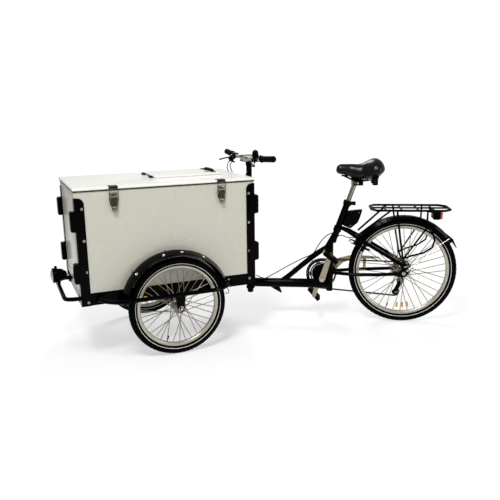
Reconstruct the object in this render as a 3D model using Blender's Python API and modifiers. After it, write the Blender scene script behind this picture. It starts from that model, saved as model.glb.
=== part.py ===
"""Front-box cargo tricycle made up as a vending cart: a two-wheeled box carrier on a bicycle rear frame.

The steering axis is upright at x = 0, y = 0 of the front frame. The box points to -X, the rider's left is
-Y and the ground is z = 0. Pieces of the rear frame are laid out straight behind the axis and turned with it.
"""

import math

import bmesh
import bpy
from mathutils import Matrix, Vector

# Place of the whole: the steering axis seen from the middle of the footprint.
AXIS_X = 0.0396
AXIS_Y = 0.1063
STEERING = math.radians(-29.4)

# Clearances.
SEAT = 0.0003

# Cargo box.
BOX_REAR = -0.095
BOX_LENGTH = 0.911
BOX_FRONT = BOX_REAR - BOX_LENGTH
BOX_WIDTH = 0.560
HALF = BOX_WIDTH / 2
RAIL_BOTTOM = 0.293
RAIL_HEIGHT = 0.0625
RAIL_TOP = RAIL_BOTTOM + RAIL_HEIGHT
RAIL_THICK = 0.025
PANEL = 0.009
FLOOR_THICK = 0.012
LID_BOTTOM = 0.853
LID_THICK = 0.015
LID_TOP = LID_BOTTOM + LID_THICK
LID_OVERHANG = 0.006
LID_REBATE = 0.0028
POST_LEG = 0.046
POST_SKIN = 0.003
POST_TOP = LID_BOTTOM - 0.031
BLOCK_OUT = 0.026
BLOCK_HEIGHT = 0.098
HATCH = (BOX_REAR - 0.465, BOX_REAR - 0.095, -0.060, 0.225)
HATCH_THICK = 0.010
HATCH_RIM = 0.018

# Wheels.
FRONT_R = 0.252
TYRE_HEIGHT = 0.0415
FRONT_RIM = FRONT_R - TYRE_HEIGHT
FRONT_X = BOX_FRONT + BOX_LENGTH / 2 + 0.0045
WHEEL_GAP = 0.060
WHEEL_Y = HALF + WHEEL_GAP
TYRE = 0.044
FRONT_FACETS = 36
FRONT_SPOKES = 24
REAR_R = 0.3035
REAR_RIM = REAR_R - 0.0430
REAR_X = 0.5725 + REAR_R
REAR_FACETS = 40
REAR_SPOKES = 32
AXLE_R = 0.005

# Steering column and controls.
COLUMN_R = 0.016
SPINDLE_R = 0.0125
COLUMN_TOP = 0.926
HEAD_BOTTOM = 0.180
HEAD_TOP = 0.262
HEAD_R = 0.022
BAR_R = 0.0111
BAR_HALF = 0.330
GRIP_LENGTH = 0.125
GRIP_R = 0.0165

# Rear frame.
MAIN_Z = 0.216
MAIN_R = 0.027
SEAT_TUBE_R = 0.0185
CURVED_R = 0.016
CRANK_X = 0.420
CRANK_Z = 0.262
CRANK_LENGTH = 0.152
CRANK_ANGLE = math.radians(73.0)
STAY_R = 0.009
DROPOUT_Y = 0.0665
SEAT_LEAN = math.atan2(0.090, 0.259)

# Drive.
PITCH = 0.0127
RING_TEETH = 44
SPROCKETS = (28, 24, 20, 18, 16, 14)
DRIVEN = 18
CHAIN_Y = 0.0475
PULLEY_TEETH = 11
TOOTH_TIP = 0.0036
ROLLER_R = 0.0030
GUIDE_PULLEY = (REAR_X + 0.0060, REAR_R - 0.0755)
TENSION_PULLEY = (REAR_X - 0.0240, REAR_R - 0.1455)

# Colours: base colour, roughness, metallic.
BLACK_STEEL = ((0.012, 0.012, 0.013), 0.22, 0.0)
BLACK_SATIN = ((0.020, 0.020, 0.021), 0.45, 0.0)
BLACK_PLASTIC = ((0.022, 0.022, 0.024), 0.55, 0.0)
RUBBER = ((0.018, 0.018, 0.019), 0.75, 0.0)
WHITE_PANEL = ((0.80, 0.79, 0.74), 0.28, 0.0)
ALLOY = ((0.66, 0.64, 0.59), 0.35, 0.9)
CHROME = ((0.72, 0.71, 0.68), 0.18, 1.0)
STEEL = ((0.50, 0.49, 0.47), 0.38, 1.0)
BRONZE_STEEL = ((0.33, 0.27, 0.20), 0.32, 1.0)
DARK_STEEL = ((0.16, 0.15, 0.14), 0.42, 1.0)
BEIGE_PLASTIC = ((0.62, 0.57, 0.47), 0.5, 0.0)
VINYL = ((0.020, 0.020, 0.022), 0.5, 0.0)


def clear_scene():
    for obj in list(bpy.data.objects):
        bpy.data.objects.remove(obj, do_unlink=True)


clear_scene()
PART = bpy.data.collections.new("bicycle_vending_cart")
WORKSHOP = bpy.data.collections.new("workshop")
bpy.context.scene.collection.children.link(PART)
bpy.context.scene.collection.children.link(WORKSHOP)
WORKSHOP.hide_render = True


def frame_empty(name, parent, location, turn):
    empty = bpy.data.objects.new(name, None)
    PART.objects.link(empty)
    empty.parent = parent
    empty.location = location
    empty.rotation_euler = (0.0, 0.0, turn)
    return empty


FRONT = frame_empty("front_frame_axis", None, (AXIS_X, AXIS_Y, 0.0), 0.0)
REAR = frame_empty("rear_frame_axis", FRONT, (0.0, 0.0, 0.0), STEERING)


def shape_of(bm):
    mesh = bpy.data.meshes.new("shape")
    bm.to_mesh(mesh)
    bm.free()
    obj = bpy.data.objects.new("shape", mesh)
    WORKSHOP.objects.link(obj)
    return obj


def baked(obj, weld=0.0):
    """A plain mesh object of what obj evaluates to. obj itself is removed."""
    bpy.context.view_layer.update()
    graph = bpy.context.evaluated_depsgraph_get()
    mesh = bpy.data.meshes.new_from_object(obj.evaluated_get(graph))
    matrix = obj.matrix_world.copy()
    bpy.data.objects.remove(obj, do_unlink=True)
    bm = bmesh.new()
    bm.from_mesh(mesh)
    bpy.data.meshes.remove(mesh)
    if weld > 0.0:
        bmesh.ops.remove_doubles(bm, verts=bm.verts, dist=weld)
        bmesh.ops.recalc_face_normals(bm, faces=bm.faces)
    bm.transform(matrix)
    return shape_of(bm)


def combined(body, others, operation):
    """body united with, or cut by, all the other shapes."""
    tools = bpy.data.collections.new("tools")
    bpy.context.scene.collection.children.link(tools)
    for other in others:
        tools.objects.link(other)
    modifier = body.modifiers.new("combine", "BOOLEAN")
    modifier.solver = "EXACT"
    modifier.operation = operation
    modifier.operand_type = "COLLECTION"
    modifier.collection = tools
    result = baked(body)
    for other in others:
        bpy.data.objects.remove(other, do_unlink=True)
    bpy.data.collections.remove(tools)
    return result


def fuse(body, *others):
    return combined(body, others, "UNION")


def cut(body, *others):
    return combined(body, others, "DIFFERENCE")


def moved(obj, offset=(0.0, 0.0, 0.0), turn=0.0, about=(0.0, 0.0, 0.0), axis="Z"):
    """obj turned about an axis through a point, then shifted."""
    to_point = Matrix.Translation(Vector(about) + Vector(offset))
    obj.data.transform(to_point @ Matrix.Rotation(turn, 4, axis) @ Matrix.Translation(-Vector(about)))
    return obj


def mirrored(obj):
    """obj on the other side of the plane y = 0."""
    obj.data.transform(Matrix.Scale(-1.0, 4, (0.0, 1.0, 0.0)))
    obj.data.flip_normals()
    return obj


def copy_of(obj):
    double = bpy.data.objects.new("shape", obj.data.copy())
    WORKSHOP.objects.link(double)
    return double


def block(xs, ys, zs, bevel=0.0, segments=1):
    bm = bmesh.new()
    bmesh.ops.create_cube(bm, size=1.0)
    bmesh.ops.scale(bm, vec=(xs[1] - xs[0], ys[1] - ys[0], zs[1] - zs[0]), verts=bm.verts)
    if bevel > 0.0:
        bmesh.ops.bevel(bm, geom=bm.edges[:], offset=bevel, segments=segments, profile=0.5, affect="EDGES")
    centre = ((xs[0] + xs[1]) / 2, (ys[0] + ys[1]) / 2, (zs[0] + zs[1]) / 2)
    bmesh.ops.translate(bm, vec=centre, verts=bm.verts)
    return shape_of(bm)


def rod(start, end, radius, sides=12, end_radius=None):
    """A straight round bar, or a cone where end_radius differs."""
    first = Vector(start)
    along = Vector(end) - first
    far = radius if end_radius is None else end_radius
    bm = bmesh.new()
    bmesh.ops.create_cone(
        bm, cap_ends=True, cap_tris=False, segments=sides, radius1=radius, radius2=far, depth=along.length
    )
    turn = Vector((0.0, 0.0, 1.0)).rotation_difference(along.normalized()).to_matrix().to_4x4()
    bm.transform(Matrix.Translation(first + along / 2) @ turn)
    return shape_of(bm)


def dome(centre, radius, height, direction, sides=6):
    """A low rounded bolt head standing on a face."""
    base = Vector(centre)
    out = Vector(direction).normalized()
    return rod(base - out * 0.0012, base + out * height, radius, sides, radius * 0.55)


def rounded(points, radius, steps=3):
    """The same route with each inner corner replaced by an arc."""
    route = [Vector(points[0])]
    for before, corner, after in zip(points, points[1:], points[2:]):
        here = Vector(corner)
        back = Vector(before) - here
        ahead = Vector(after) - here
        reach = min(radius, back.length * 0.48, ahead.length * 0.48)
        first = here + back.normalized() * reach
        last = here + ahead.normalized() * reach
        for step in range(steps + 1):
            share = step / steps
            route.append(first * (1 - share) ** 2 + here * 2 * share * (1 - share) + last * share**2)
    route.append(Vector(points[-1]))
    return route


def tube(points, radius, detail=3, closed=False):
    """A round tube with closed ends along a route, where detail sets its number of sides."""
    curve = bpy.data.curves.new("route", "CURVE")
    curve.dimensions = "3D"
    curve.bevel_depth = radius
    curve.bevel_resolution = detail
    curve.use_fill_caps = True
    spline = curve.splines.new("POLY")
    spline.points.add(len(points) - 1)
    for place, point in zip(spline.points, points):
        place.co = (*point, 1.0)
    spline.use_cyclic_u = closed
    obj = bpy.data.objects.new("route", curve)
    WORKSHOP.objects.link(obj)
    return baked(obj, 1e-6)


def plate(outlines, thickness, y=0.0, plane="XZ"):
    """A flat plate: the first outline is its edge and the others are holes. It is centred on the plane."""
    curve = bpy.data.curves.new("outline", "CURVE")
    curve.dimensions = "2D"
    curve.fill_mode = "BOTH"
    curve.extrude = thickness / 2
    for outline in outlines:
        spline = curve.splines.new("POLY")
        spline.points.add(len(outline) - 1)
        for place, point in zip(spline.points, outline):
            place.co = (point[0], point[1], 0.0, 1.0)
        spline.use_cyclic_u = True
    obj = bpy.data.objects.new("outline", curve)
    WORKSHOP.objects.link(obj)
    if plane == "XZ":
        obj.matrix_world = Matrix.Translation((0.0, y, 0.0)) @ Matrix.Rotation(math.pi / 2, 4, "X")
    elif plane == "YZ":
        obj.matrix_world = Matrix(((0, 0, 1, y), (1, 0, 0, 0), (0, 1, 0, 0), (0, 0, 0, 1)))
    else:
        obj.matrix_world = Matrix.Translation((0.0, 0.0, y))
    return baked(obj, 1e-6)


def turned(profile, steps, axis="Z", centre=(0.0, 0.0, 0.0), closed=True):
    """A solid of revolution from (radius, height) points, standing on centre along an axis."""
    bm = bmesh.new()
    verts = [bm.verts.new((radius, 0.0, height)) for radius, height in profile]
    for first, second in zip(verts, verts[1:]):
        bm.edges.new((first, second))
    if closed:
        bm.edges.new((verts[-1], verts[0]))
    obj = shape_of(bm)
    screw = obj.modifiers.new("turn", "SCREW")
    screw.axis = "Z"
    screw.angle = 2 * math.pi
    screw.steps = steps
    screw.render_steps = steps
    screw.use_merge_vertices = True
    screw.merge_threshold = 0.00001
    solid = baked(obj, 1e-6)
    if axis == "Y":
        solid.data.transform(Matrix.Rotation(-math.pi / 2, 4, "X"))
    elif axis == "X":
        solid.data.transform(Matrix.Rotation(math.pi / 2, 4, "Y"))
    solid.data.transform(Matrix.Translation(centre))
    return solid


def circle(centre, radius, count, start=0.0):
    step = 2 * math.pi / count
    return [
        (centre[0] + radius * math.cos(start + i * step), centre[1] + radius * math.sin(start + i * step))
        for i in range(count)
    ]


def paint(name, finish):
    material = bpy.data.materials.new(name)
    material.use_nodes = True
    shader = material.node_tree.nodes["Principled BSDF"]
    colour, roughness, metallic = finish
    shader.inputs["Base Color"].default_value = (*colour, 1.0)
    shader.inputs["Roughness"].default_value = roughness
    shader.inputs["Metallic"].default_value = metallic
    material.diffuse_color = (*colour, 1.0)
    return material


def node(name, obj, finish, parent, origin=(0.0, 0.0, 0.0)):
    """Makes the shape a named sub-part, with its origin on the joint axis where it moves."""
    WORKSHOP.objects.unlink(obj)
    PART.objects.link(obj)
    obj.name = name
    obj.data.name = name
    obj.data.transform(Matrix.Translation(-Vector(origin)))
    obj.location = origin
    obj.parent = parent
    obj.data.materials.clear()
    obj.data.materials.append(paint(name, finish))
    return obj


# Carrier frame


def stadium_link(top, bottom, half, thickness, y):
    """A hanging plate with a square top and a round bottom about a hole."""
    x, z = bottom
    low = [
        (x + half * math.cos(a), z + half * math.sin(a))
        for a in [math.pi * (1 + i / 4) for i in range(5)]
    ]
    outline = low + [(top[0] + half * 1.5, top[1]), (top[0] - half * 1.5, top[1])]
    return plate([outline], thickness, y)


HANGER_Y = HALF - 0.0125


def make_carrier_frame():
    rail = (HALF - RAIL_THICK, HALF)
    zs = (RAIL_BOTTOM, RAIL_TOP)
    body = block((BOX_FRONT + 0.003, BOX_REAR - 0.003), rail, zs, 0.002)
    pieces = [mirrored(copy_of(body))]
    across = (-rail[0] - 0.002, rail[0] + 0.002)
    for x in (BOX_FRONT + 0.003, FRONT_X - 0.214, FRONT_X + 0.206, BOX_REAR - 0.003 - RAIL_THICK):
        pieces.append(block((x, x + RAIL_THICK), across, (zs[0] + 0.001, zs[1] - 0.0005)))
    stub = HANGER_Y + 0.0005
    pieces.append(rod((FRONT_X, -stub, FRONT_R), (FRONT_X, stub, FRONT_R), 0.0125, 12))
    yoke_z = RAIL_BOTTOM + 0.019
    for side in (-1, 1):
        hanger = stadium_link(
            (FRONT_X, RAIL_BOTTOM + 0.012), (FRONT_X, FRONT_R), 0.020, 0.007, side * HANGER_Y
        )
        pieces.append(hanger)
        arm = tube(
            rounded(
                [
                    (BOX_REAR - 0.010, side * (HALF - 0.055), yoke_z),
                    (BOX_REAR + 0.040, side * (HALF - 0.095), yoke_z), (-0.014, side * 0.012, yoke_z)
                ],
                0.05, 1
            ),
            0.0125,
            2,
        )
        pieces.append(arm)
    pieces.append(rod((0.0, 0.0, HEAD_TOP + 0.004), (0.0, 0.0, yoke_z + 0.040), 0.0225, 16))
    body = fuse(body, *pieces)
    bores = [rod((0.0, 0.0, HEAD_BOTTOM), (0.0, 0.0, yoke_z + 0.060), COLUMN_R + SEAT, 20)]
    for side in (-1, 1):
        bores.append(
            rod(
                (FRONT_X, side * (HANGER_Y - 0.0095), FRONT_R),
                (FRONT_X, side * (HANGER_Y + 0.0225), FRONT_R), AXLE_R + 0.0006, 12
            )
        )
    node("carrier_frame", cut(body, *bores), BLACK_STEEL, FRONT)


STAY_Y = WHEEL_Y + 0.055
STAY_Z = RAIL_BOTTOM + 0.033
STAY_ENDS = (BOX_FRONT + 0.072, FRONT_X + FRONT_R + 0.042)
STAY_BENDS = (FRONT_X - FRONT_R - 0.064, FRONT_X + FRONT_R - 0.031)


def make_outer_stay(name, side):
    front, rear = STAY_ENDS
    route = [
        (front, HALF + 0.003, STAY_Z),
        (front + 0.012, HALF + 0.045, STAY_Z),
        (STAY_BENDS[0], STAY_Y, STAY_Z),
        (STAY_BENDS[1], STAY_Y, STAY_Z),
        (rear - 0.010, HALF + 0.045, STAY_Z),
        (rear, HALF + 0.003, STAY_Z),
    ]
    body = tube(rounded(route, 0.045, 2), 0.0100, 2)
    flange = (HALF + SEAT, HALF + 0.0045)
    zs = (STAY_Z - 0.024, STAY_Z + 0.024)
    pieces = [
        block((front - 0.022, front + 0.026), flange, zs),
        block((rear - 0.018, rear + 0.026), flange, zs)
    ]
    pieces.append(
        stadium_link((FRONT_X, STAY_Z + 0.003), (FRONT_X, FRONT_R), 0.0175, 0.006, STAY_Y - 0.002)
    )
    inner_end = HANGER_Y - 0.0085
    pieces.append(rod((FRONT_X, inner_end, FRONT_R), (FRONT_X, STAY_Y + 0.013, FRONT_R), AXLE_R, 10))
    pieces.append(rod((FRONT_X, STAY_Y, FRONT_R), (FRONT_X, STAY_Y + 0.009, FRONT_R), 0.0098, 6))
    for x in (front - 0.013, rear + 0.015):
        pieces.append(dome((x, HALF + 0.0045, STAY_Z - 0.014), 0.0060, 0.0035, (0, 1, 0)))
    body = fuse(body, *pieces)
    node(name, mirrored(body) if side < 0 else body, BLACK_STEEL, FRONT)


HOOP_X = BOX_FRONT - 0.070
HOOP_Z = RAIL_BOTTOM + 0.022
HOOP_HALF = HALF - 0.068
HOOP_R = 0.0105


def make_bumper_hoop():
    face = BOX_FRONT + 0.003 - SEAT
    route = [
        (face - 0.002, -HOOP_HALF, HOOP_Z),
        (HOOP_X, -HOOP_HALF + 0.010, HOOP_Z),
        (HOOP_X, HOOP_HALF - 0.010, HOOP_Z),
        (face - 0.002, HOOP_HALF, HOOP_Z),
    ]
    body = tube(rounded(route, 0.045), HOOP_R, 2)
    feet = [
        block((face - 0.005, face), (y - 0.020, y + 0.020), (HOOP_Z - 0.019, HOOP_Z + 0.019))
        for y in (-HOOP_HALF, HOOP_HALF)
    ]
    node("bumper_hoop", fuse(body, *feet), BLACK_STEEL, FRONT)


LAMP_Y = 0.075


def make_headlamp():
    profile = [
        (0.0, 0.074),
        (0.018, 0.068),
        (0.033, 0.045),
        (0.037, 0.018),
        (0.039, 0.005),
        (0.039, 0.0),
        (0.024, -0.006),
        (0.0, -0.009),
    ]
    x = HOOP_X - 0.010
    z = HOOP_Z + 0.057
    body = turned(profile, 16, "X", (HOOP_X - 0.026, LAMP_Y, z), closed=False)
    foot = block((x, HOOP_X + 0.010), (LAMP_Y - 0.009, LAMP_Y + 0.009), (HOOP_Z + HOOP_R + SEAT, z - 0.027))
    knob = rod((x, LAMP_Y, z + 0.033), (x, LAMP_Y, z + 0.050), 0.009, 10, 0.007)
    node("headlamp", fuse(body, foot, knob), BLACK_STEEL, FRONT)


# Cargo box


PANEL_LOW = RAIL_TOP + SEAT
PANEL_HIGH = LID_BOTTOM - SEAT
INNER = HALF - PANEL - SEAT


def make_box():
    zs = (PANEL_LOW, PANEL_HIGH)
    for name, side in (("panel_left", -1), ("panel_right", 1)):
        ys = sorted((side * (HALF - PANEL), side * HALF))
        node(name, block((BOX_FRONT, BOX_REAR), ys, zs, 0.0008), WHITE_PANEL, FRONT)
    node("panel_front", block((BOX_FRONT, BOX_FRONT + PANEL), (-INNER, INNER), zs), WHITE_PANEL, FRONT)
    node("panel_rear", block((BOX_REAR - PANEL, BOX_REAR), (-INNER, INNER), zs), WHITE_PANEL, FRONT)
    floor = (BOX_FRONT + PANEL + SEAT, BOX_REAR - PANEL - SEAT)
    node(
        "box_floor", block(floor, (-INNER, INNER), (PANEL_LOW, PANEL_LOW + FLOOR_THICK)),
        WHITE_PANEL, FRONT
    )


BOLT_LOW = RAIL_BOTTOM + 0.018
BOLT_HIGH = POST_TOP - 0.052
BOLT_HEIGHTS = [BOLT_LOW + (BOLT_HIGH - BOLT_LOW) * i / 3 for i in range(4)]
BLOCK_CENTRES = (RAIL_BOTTOM + 0.165, POST_TOP - 0.111)
REAR_SHIFT = 0.018


def make_post(name, end, side):
    """One corner post. end is -1 at the front of the box, +1 at the rear, and side is -1 on the left."""
    rise = REAR_SHIFT if end > 0 else 0.0
    top = POST_TOP + rise
    skin = POST_SKIN
    corner = [
        (POST_LEG - skin - 0.030 * (1 - math.cos(a)), top - RAIL_BOTTOM - 0.030 * (1 - math.sin(a)))
        for a in [math.pi / 2 * i / 4 for i in range(5)]
    ]
    leg = [(-skin - SEAT, 0.0), (POST_LEG - skin, 0.0)] + corner + [(-skin - SEAT, top - RAIL_BOTTOM)]
    across = moved(plate([leg], skin, 0.0), (0.0, HALF + SEAT + skin / 2, RAIL_BOTTOM))
    facing = [(HALF + SEAT + skin - (u + skin + SEAT), v + RAIL_BOTTOM) for u, v in leg]
    along = plate([facing], skin, -SEAT - skin / 2, "YZ")
    pieces = [along]
    depth = BLOCK_OUT
    for centre in BLOCK_CENTRES:
        low = centre + rise - BLOCK_HEIGHT / 2
        high = low + BLOCK_HEIGHT
        outer = HALF + SEAT + skin + 0.006
        pieces.append(block((-depth, -SEAT - 0.001), (HALF - 0.038, outer), (low, high), 0.006))
        pieces.append(block((-0.010, 0.029), (HALF + SEAT + 0.001, outer), (low, high)))
    for height in BOLT_HEIGHTS:
        z = height + rise
        pieces.append(dome((0.031, HALF + SEAT + skin, z), 0.0062, 0.0035, (0, 1, 0)))
    body = moved(fuse(across, *pieces), (BOX_FRONT, 0.0, 0.0))
    if end > 0:
        body.data.transform(
            Matrix.Translation((BOX_FRONT + BOX_REAR, 0.0, 0.0)) @ Matrix.Scale(-1.0, 4, (1, 0, 0))
        )
        body.data.flip_normals()
    node(name, mirrored(body) if side < 0 else body, BLACK_STEEL, FRONT)


def make_front_fender(name, side):
    outer = [(0.0100, 0.0004), (0.0265, 0.0004), (0.0355, 0.050), (0.0170, 0.0965)]
    inner = [(0.0160, 0.0940), (0.0331, 0.0490), (0.0249, 0.0026), (0.0100, 0.0026)]
    section = [(FRONT_R + r, y) for r, y in outer + inner]
    body = turned(section, 44, "Y", (FRONT_X, HALF, FRONT_R))
    wedge = [(0.0, 0.0)]
    for degrees in (20.0, -45.0, -135.0, -188.0):
        angle = math.radians(degrees)
        wedge.append((0.6 * math.cos(angle), 0.6 * math.sin(angle)))
    wedge = [(FRONT_X + x, FRONT_R + z) for x, z in wedge]
    body = cut(body, plate([wedge[::-1]], 0.40, HALF + 0.05))
    bolts = []
    for degrees in (58.0, 98.0, 138.0):
        angle = math.radians(degrees)
        out = (math.cos(angle), 0.0, math.sin(angle))
        radius = FRONT_R + 0.0283
        bolts.append(
            dome(
                (FRONT_X + radius * out[0], HALF + 0.011, FRONT_R + radius * out[2]), 0.0055,
                0.0040, out, 6
            )
        )
    body = fuse(body, *bolts)
    node(name, mirrored(body) if side < 0 else body, BLACK_STEEL, FRONT)


# Lid, hatch and latches


LID_AXIS_Y = HALF + 0.0125
LID_AXIS_Z = LID_BOTTOM
HINGE_ENDS = (BOX_FRONT + 0.016, BOX_REAR - 0.045)
HINGE_SEGMENTS = 7
KNUCKLE_R = 0.0055
PIN_R = 0.0022


def knuckle_spans(moving):
    start, end = HINGE_ENDS
    length = (end - start) / HINGE_SEGMENTS
    first = 1 if moving else 0
    return [
        (start + length * i + 0.0006, start + length * (i + 1) - 0.0006)
        for i in range(first, HINGE_SEGMENTS, 2)
    ]


def make_lid():
    edge = LID_OVERHANG
    body = block(
        (BOX_FRONT - edge, BOX_REAR + edge), (-HALF - edge, HALF + edge),
        (LID_BOTTOM + LID_REBATE, LID_TOP), 0.0025
    )
    inset = 0.003
    pieces = [
        block(
            (BOX_FRONT + inset, BOX_REAR - inset), (-HALF + inset, HALF - inset),
            (LID_BOTTOM, LID_BOTTOM + 0.005)
        )
    ]
    for x0, x1 in knuckle_spans(True):
        pieces.append(rod((x0, LID_AXIS_Y, LID_AXIS_Z), (x1, LID_AXIS_Y, LID_AXIS_Z), KNUCKLE_R, 8))
        pieces.append(
            block((x0, x1), (HALF + 0.003, LID_AXIS_Y), (LID_AXIS_Z + 0.0031, LID_AXIS_Z + 0.0052))
        )
    body = fuse(body, *pieces)
    x0, x1, y0, y1 = HATCH
    rim = HATCH_RIM
    window = block((x0 + rim, x1 - rim), (y0 + rim, y1 - rim), (LID_BOTTOM - 0.01, LID_TOP + 0.01))
    bore = rod(
        (
            BOX_FRONT - 0.1, LID_AXIS_Y, LID_AXIS_Z
        ), (BOX_REAR + 0.1, LID_AXIS_Y, LID_AXIS_Z), PIN_R + 0.0006, 8
    )
    body = cut(body, window, bore)
    node("lid", body, WHITE_PANEL, FRONT, (0.0, LID_AXIS_Y, LID_AXIS_Z))
    leaf = block(HINGE_ENDS, (HALF + SEAT, HALF + 0.0022), (LID_AXIS_Z - 0.0290, LID_AXIS_Z - 0.0010))
    start, end = HINGE_ENDS
    fixed = [rod((start, LID_AXIS_Y, LID_AXIS_Z), (end, LID_AXIS_Y, LID_AXIS_Z), PIN_R, 6)]
    for x0, x1 in knuckle_spans(False):
        fixed.append(rod((x0, LID_AXIS_Y, LID_AXIS_Z), (x1, LID_AXIS_Y, LID_AXIS_Z), KNUCKLE_R, 8))
        fixed.append(
            block((x0, x1), (HALF + 0.0012, LID_AXIS_Y), (LID_AXIS_Z - 0.0052, LID_AXIS_Z - 0.0031))
        )
    node("lid_hinge", fuse(leaf, *fixed), STEEL, FRONT)


HATCH_AXIS_X = HATCH[0] - 0.008
HATCH_AXIS_Z = LID_TOP + 0.0065
HATCH_HINGES = (-0.010, 0.150)


def make_hatch():
    x0, x1, y0, y1 = HATCH
    low = LID_TOP + SEAT
    body = block((x0, x1), (y0, y1), (low, low + HATCH_THICK), 0.0025)
    pieces = []
    bores = []
    lugs = [
        rod(
            (HATCH_AXIS_X, HATCH_HINGES[0] - 0.020, HATCH_AXIS_Z),
            (HATCH_AXIS_X, HATCH_HINGES[1] + 0.020, HATCH_AXIS_Z), PIN_R, 6
        )
    ]
    for y in HATCH_HINGES:
        here = (HATCH_AXIS_X, y - 0.0090, HATCH_AXIS_Z)
        there = (HATCH_AXIS_X, y + 0.0090, HATCH_AXIS_Z)
        pieces.append(rod(here, there, 0.0048, 8))
        pieces.append(
            block(
                (HATCH_AXIS_X, x0 + 0.004), (y - 0.0090, y + 0.0090),
                (HATCH_AXIS_Z - 0.0015, HATCH_AXIS_Z + 0.0030)
            )
        )
        bores.append(
            rod(
                (HATCH_AXIS_X, y - 0.02, HATCH_AXIS_Z), (HATCH_AXIS_X, y + 0.02, HATCH_AXIS_Z),
                PIN_R + 0.0006, 8
            )
        )
        for end in (-1, 1):
            ys = sorted((y + end * 0.0095, y + end * 0.0180))
            lugs.append(
                block((HATCH_AXIS_X - 0.012, HATCH_AXIS_X + 0.0035), ys, (low, HATCH_AXIS_Z + 0.0045))
            )
    body = cut(fuse(body, *pieces), *bores)
    node("hatch", body, WHITE_PANEL, FRONT, (HATCH_AXIS_X, 0.0, HATCH_AXIS_Z))
    node("hatch_hinge", fuse(lugs[0], *lugs[1:]), BLACK_SATIN, FRONT)
    top = low + HATCH_THICK + SEAT
    strip = block((x1 - 0.034, x1 - 0.008), (0.060, 0.205), (top, top + 0.004), 0.001)
    grip = tube(
        rounded(
            [
                (x1 - 0.021, 0.078, top + 0.002), (x1 - 0.021, 0.082, top + 0.022),
                (x1 - 0.021, 0.183, top + 0.022), (x1 - 0.021, 0.187, top + 0.002)
            ],
            0.012, 2
        ),
        0.0050,
        1,
    )
    node("hatch_handle", fuse(strip, grip), BLACK_SATIN, FRONT)


LATCH_X = (BOX_FRONT + 0.183, BOX_REAR - 0.182)
LEVER_AXIS = (-HALF - 0.0105, LID_BOTTOM - 0.047)
BAIL_AXIS = (-HALF - 0.0090, LID_BOTTOM - 0.059)
BAIL_TOP = (-HALF - 0.0113, LID_TOP - 0.0065)


def make_latch(tag, x):
    face = -HALF - SEAT
    ay, az = LEVER_AXIS
    by, bz = BAIL_AXIS
    base = block((x - 0.0190, x + 0.0190), (face - 0.0022, face), (az - 0.0275, az + 0.0320))
    ears = [
        block(
            sorted((x + s * 0.0165, x + s * 0.0190)), (ay - 0.0038, face - 0.0012),
            (az - 0.0068, az + 0.0068)
        )
        for s in (-1, 1)
    ]
    base = fuse(base, *ears)
    base = cut(base, rod((x - 0.03, ay, az), (x + 0.03, ay, az), 0.0024, 8))
    node("latch_base_" + tag, base, STEEL, FRONT)
    tongue = [(x + 0.0155, az + 0.0040), (x - 0.0155, az + 0.0040), (x - 0.0155, az - 0.0340)]
    tongue += [
        (x - 0.0110 * math.cos(a), az - 0.0500 - 0.0110 * math.sin(a))
        for a in [math.pi * i / 5 for i in range(6)]
    ]
    tongue.append((x + 0.0155, az - 0.0340))
    lever = plate([tongue], 0.0020, -HALF - 0.0140)
    cheeks = [
        block(
            sorted((x + s * 0.0132, x + s * 0.0154)), (-HALF - 0.0140, -HALF - 0.0068),
            (az - 0.0165, az + 0.0039)
        )
        for s in (-1, 1)
    ]
    lever = fuse(lever, *cheeks)
    lever = cut(lever, rod((x - 0.03, by, bz), (x + 0.03, by, bz), 0.0022, 8))
    lever = fuse(lever, rod((x - 0.0195, ay, az), (x + 0.0195, ay, az), 0.0018, 6))
    node("latch_lever_" + tag, lever, BRONZE_STEEL, FRONT, (x, ay, az))
    ty, tz = BAIL_TOP
    loop = [(x - 0.0212, by, bz), (x - 0.0212, ty, tz), (x + 0.0212, ty, tz), (x + 0.0212, by, bz)]
    route = []
    for i, corner in enumerate(loop):
        before = Vector(loop[i - 1])
        after = Vector(loop[(i + 1) % 4])
        here = Vector(corner)
        route.append(here + (before - here).normalized() * 0.0030)
        route.append(here + (after - here).normalized() * 0.0030)
    node("latch_bail_" + tag, tube(route, 0.0015, 1, closed=True), STEEL, FRONT, (x, by, bz))
    edge = -HALF - LID_OVERHANG
    top = LID_TOP + SEAT
    keeper = block((x - 0.0215, x + 0.0215), (edge - 0.0025, edge + 0.038), (top, top + 0.0020))
    drop = block((x - 0.0215, x + 0.0215), (edge - 0.0025, edge - SEAT), (LID_TOP - 0.0110, top + 0.0015))
    screws = [
        dome(
            (x + dx, edge + dy, top + 0.0020), 0.0034, 0.0014, (0, 0, 1)
        ) for dx in (-0.013, 0.013) for dy in (0.010, 0.028)
    ]
    node("latch_keeper_" + tag, fuse(keeper, drop, *screws), STEEL, FRONT)


# Steering column and controls


def make_column():
    low = HEAD_BOTTOM - SEAT
    shoulder = HEAD_TOP + SEAT
    profile = [
        (0.0, HEAD_BOTTOM - 0.0250),
        (0.0120, HEAD_BOTTOM - 0.0250),
        (0.0175, HEAD_BOTTOM - 0.0215),
        (0.0175, low),
        (SPINDLE_R, low),
        (SPINDLE_R, shoulder),
        (COLUMN_R, shoulder),
        (COLUMN_R, COLUMN_TOP - 0.021),
        (COLUMN_R + 0.003, COLUMN_TOP - 0.020),
        (COLUMN_R + 0.003, COLUMN_TOP),
        (0.0, COLUMN_TOP),
    ]
    node("steering_column", turned(profile, 16, "Z", closed=False), BLACK_STEEL, FRONT)


BAR_ROUTE = [
    (-0.004, BAR_HALF, COLUMN_TOP + 0.036), (-0.020, 0.140, COLUMN_TOP + 0.024),
    (-0.024, 0.060, COLUMN_TOP + 0.023)
]
LEVER_PIVOT = (-0.0460, 0.1500, COLUMN_TOP + 0.018)


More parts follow.
